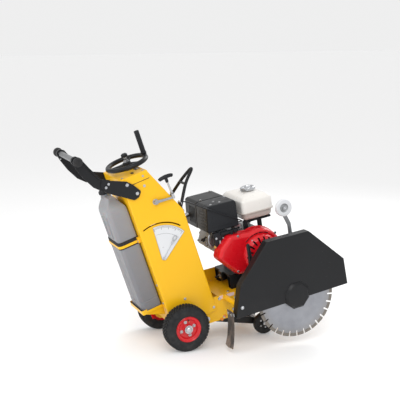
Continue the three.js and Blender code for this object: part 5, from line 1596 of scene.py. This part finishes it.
def guide():
    y = ROLLER_Y
    arm = Piece("dull_steel", "zinc")
    outline = rounded([(691, 47), (721, 47), (716, 392), (690, 462), (688, 504), (664, 504), (664, 468),
                       (694, 384)], [14, 14, 5, 5, 11, 11, 5, 5])
    arm.slab(outline, y + 13, y + 18, 1.2)
    arm.use("zinc").rod((ROLLER_X, y - 16, ROLLER_Z), (ROLLER_X, y + 14, ROLLER_Z), 7, 20)
    arm.bolt((ROLLER_X, y - 12.6, ROLLER_Z), (0, -1, 0), 5)
    arm.bolt((ROLLER_X, y + 18, ROLLER_Z), (0, 1, 0), 5)
    arm.done("guide_arm", CHASSIS, "guide", slot="zinc")
    pin = Piece("zinc")
    pin.rod((PIN_X, y + 8, PIN_Z), (PIN_X, y + 24, PIN_Z), 6.6, 18)
    pin.bolt((PIN_X, y + 11.6, PIN_Z), (0, -1, 0), 6)
    pin.done("guide_pivot_bolt", CHASSIS, "guide", extra=True)

    wheel = Piece("white_plastic", "cast_alloy")
    place = aimed((ROLLER_X, y, ROLLER_Z), (0, -1, 0))
    tread = [(25, 10.8), (29, 11.6), (40, 11.9), (44, 11.6), (46.6, 9.6), (47.8, 6.4), (48, 0)]
    wheel.turned(mirrored(tread), place, 56, closed=True)
    wheel.use("cast_alloy")
    hub = [(7.5, 12), (12, 12), (13, 9), (20, 7.6), (24, 10.4), (25.6, 10.6), (25.6, 0)]
    wheel.turned(mirrored(hub), place, 40, closed=True)
    wheel.use("white_plastic").done("guide_roller", CHASSIS, "guide_roller")


# ---- chassis and swing frame ----
def chassis():
    keep("chassis_frame", 1.6)
    trim = Piece("zinc", "red_paint", "black_plastic")
    
    for x, z in ((236, 78), (310, -4), (250, -30), (330, 60), (430, 78), (520, 78), (640, 78), (700, 20)):
        for side in (-1, 1):
            trim.bolt((x, side * SIDE_Y, z), (0, side, 0), 4.2)
    for x, y in ((300, -120), (300, 120), (560, -124), (690, -100), (690, 100), (560, 124)):
        trim.bolt((x, y, DECK_Z), (0, 0, 1), 4.2)
    for side in (-1, 1):
        pivot = aimed((SWING_X, side * SIDE_Y, SWING_Z), (0, side, 0))
        trim.use("zinc").turned(rounded([(0, 0), (14, 0), (14, 3), (0, 3)], 0.6, False), pivot, 28)
    for z in (-20, 40):
        trim.bolt((745, -100, z + 30), (1, 0, 0), 4.4)
        trim.bolt((745, 100, z + 30), (1, 0, 0), 4.4)
    trim.use("zinc").done("chassis_bolts", CHASSIS, "frame", slot="zinc", extra=True)
    # a pale pink strip along each side's upper edge: a painted reflection, the sheen of the deck's top edge
    painted_sheen_strip = Piece("painted_sheen_strip")
    for side in (-1, 1):
        painted_sheen_strip.slab(rounded_rect(236, 326, 74, 92, 1.5), side * SIDE_Y - 0.5, side * SIDE_Y + 0.5, 0.3)
    painted_sheen_strip.done("frame_painted_sheen_strip", CHASSIS, "frame", slot="white_plastic", extra=True)
    plug = Piece("amber_plastic")
    for x, z in ((232, -42), (252, -28)):
        plug.turned([(0, 0), (8, 0), (8, 4), (5, 7), (0, 7)], aimed((x, -SIDE_Y, z), (0, -1, 0)), 20)
    plug.done("frame_plugs", CHASSIS, "frame", slot="red_paint", extra=True)


def swing():
    keep("swing_frame", 1.6)
    axle = Piece("zinc")
    middle = (joint_at("front_wheel_right_spin") + joint_at("front_wheel_left_spin")) / 2
    hub = CHASSIS.inverted() @ middle
    axle.rod((hub.x, -132.6, hub.z), (hub.x, 132.6, hub.z), 9.9, 24)
    for side in (-1, 1):
        axle.turned(rounded_rect(10, 15, 0, 4, 0.6), aimed((hub.x, side * 95, hub.z), (0, side, 0)), 24,
                    closed=True)
    axle.done("front_axle", CHASSIS, "swing")


for side, where in ((-1, "right"), (1, "left")):
    rear_wheel(side, where)
    front_wheel(side, where)
for build in (rear_axle, column_shell, column_cap, handwheel, depth_screw, water_tank, tank_band,
              tank_shelf, water_valve, handlebar, depth_scale, release_lever, lifting_bail,
              engine_platform, crankcase, cylinder, fan_shroud, recoil_starter, fuel_tank, air_cleaner,
              muffler, carburettor, controls, drive, blade, blade_guard, splash_flap, guide, chassis,
              swing):
    build()
camera()
studio()
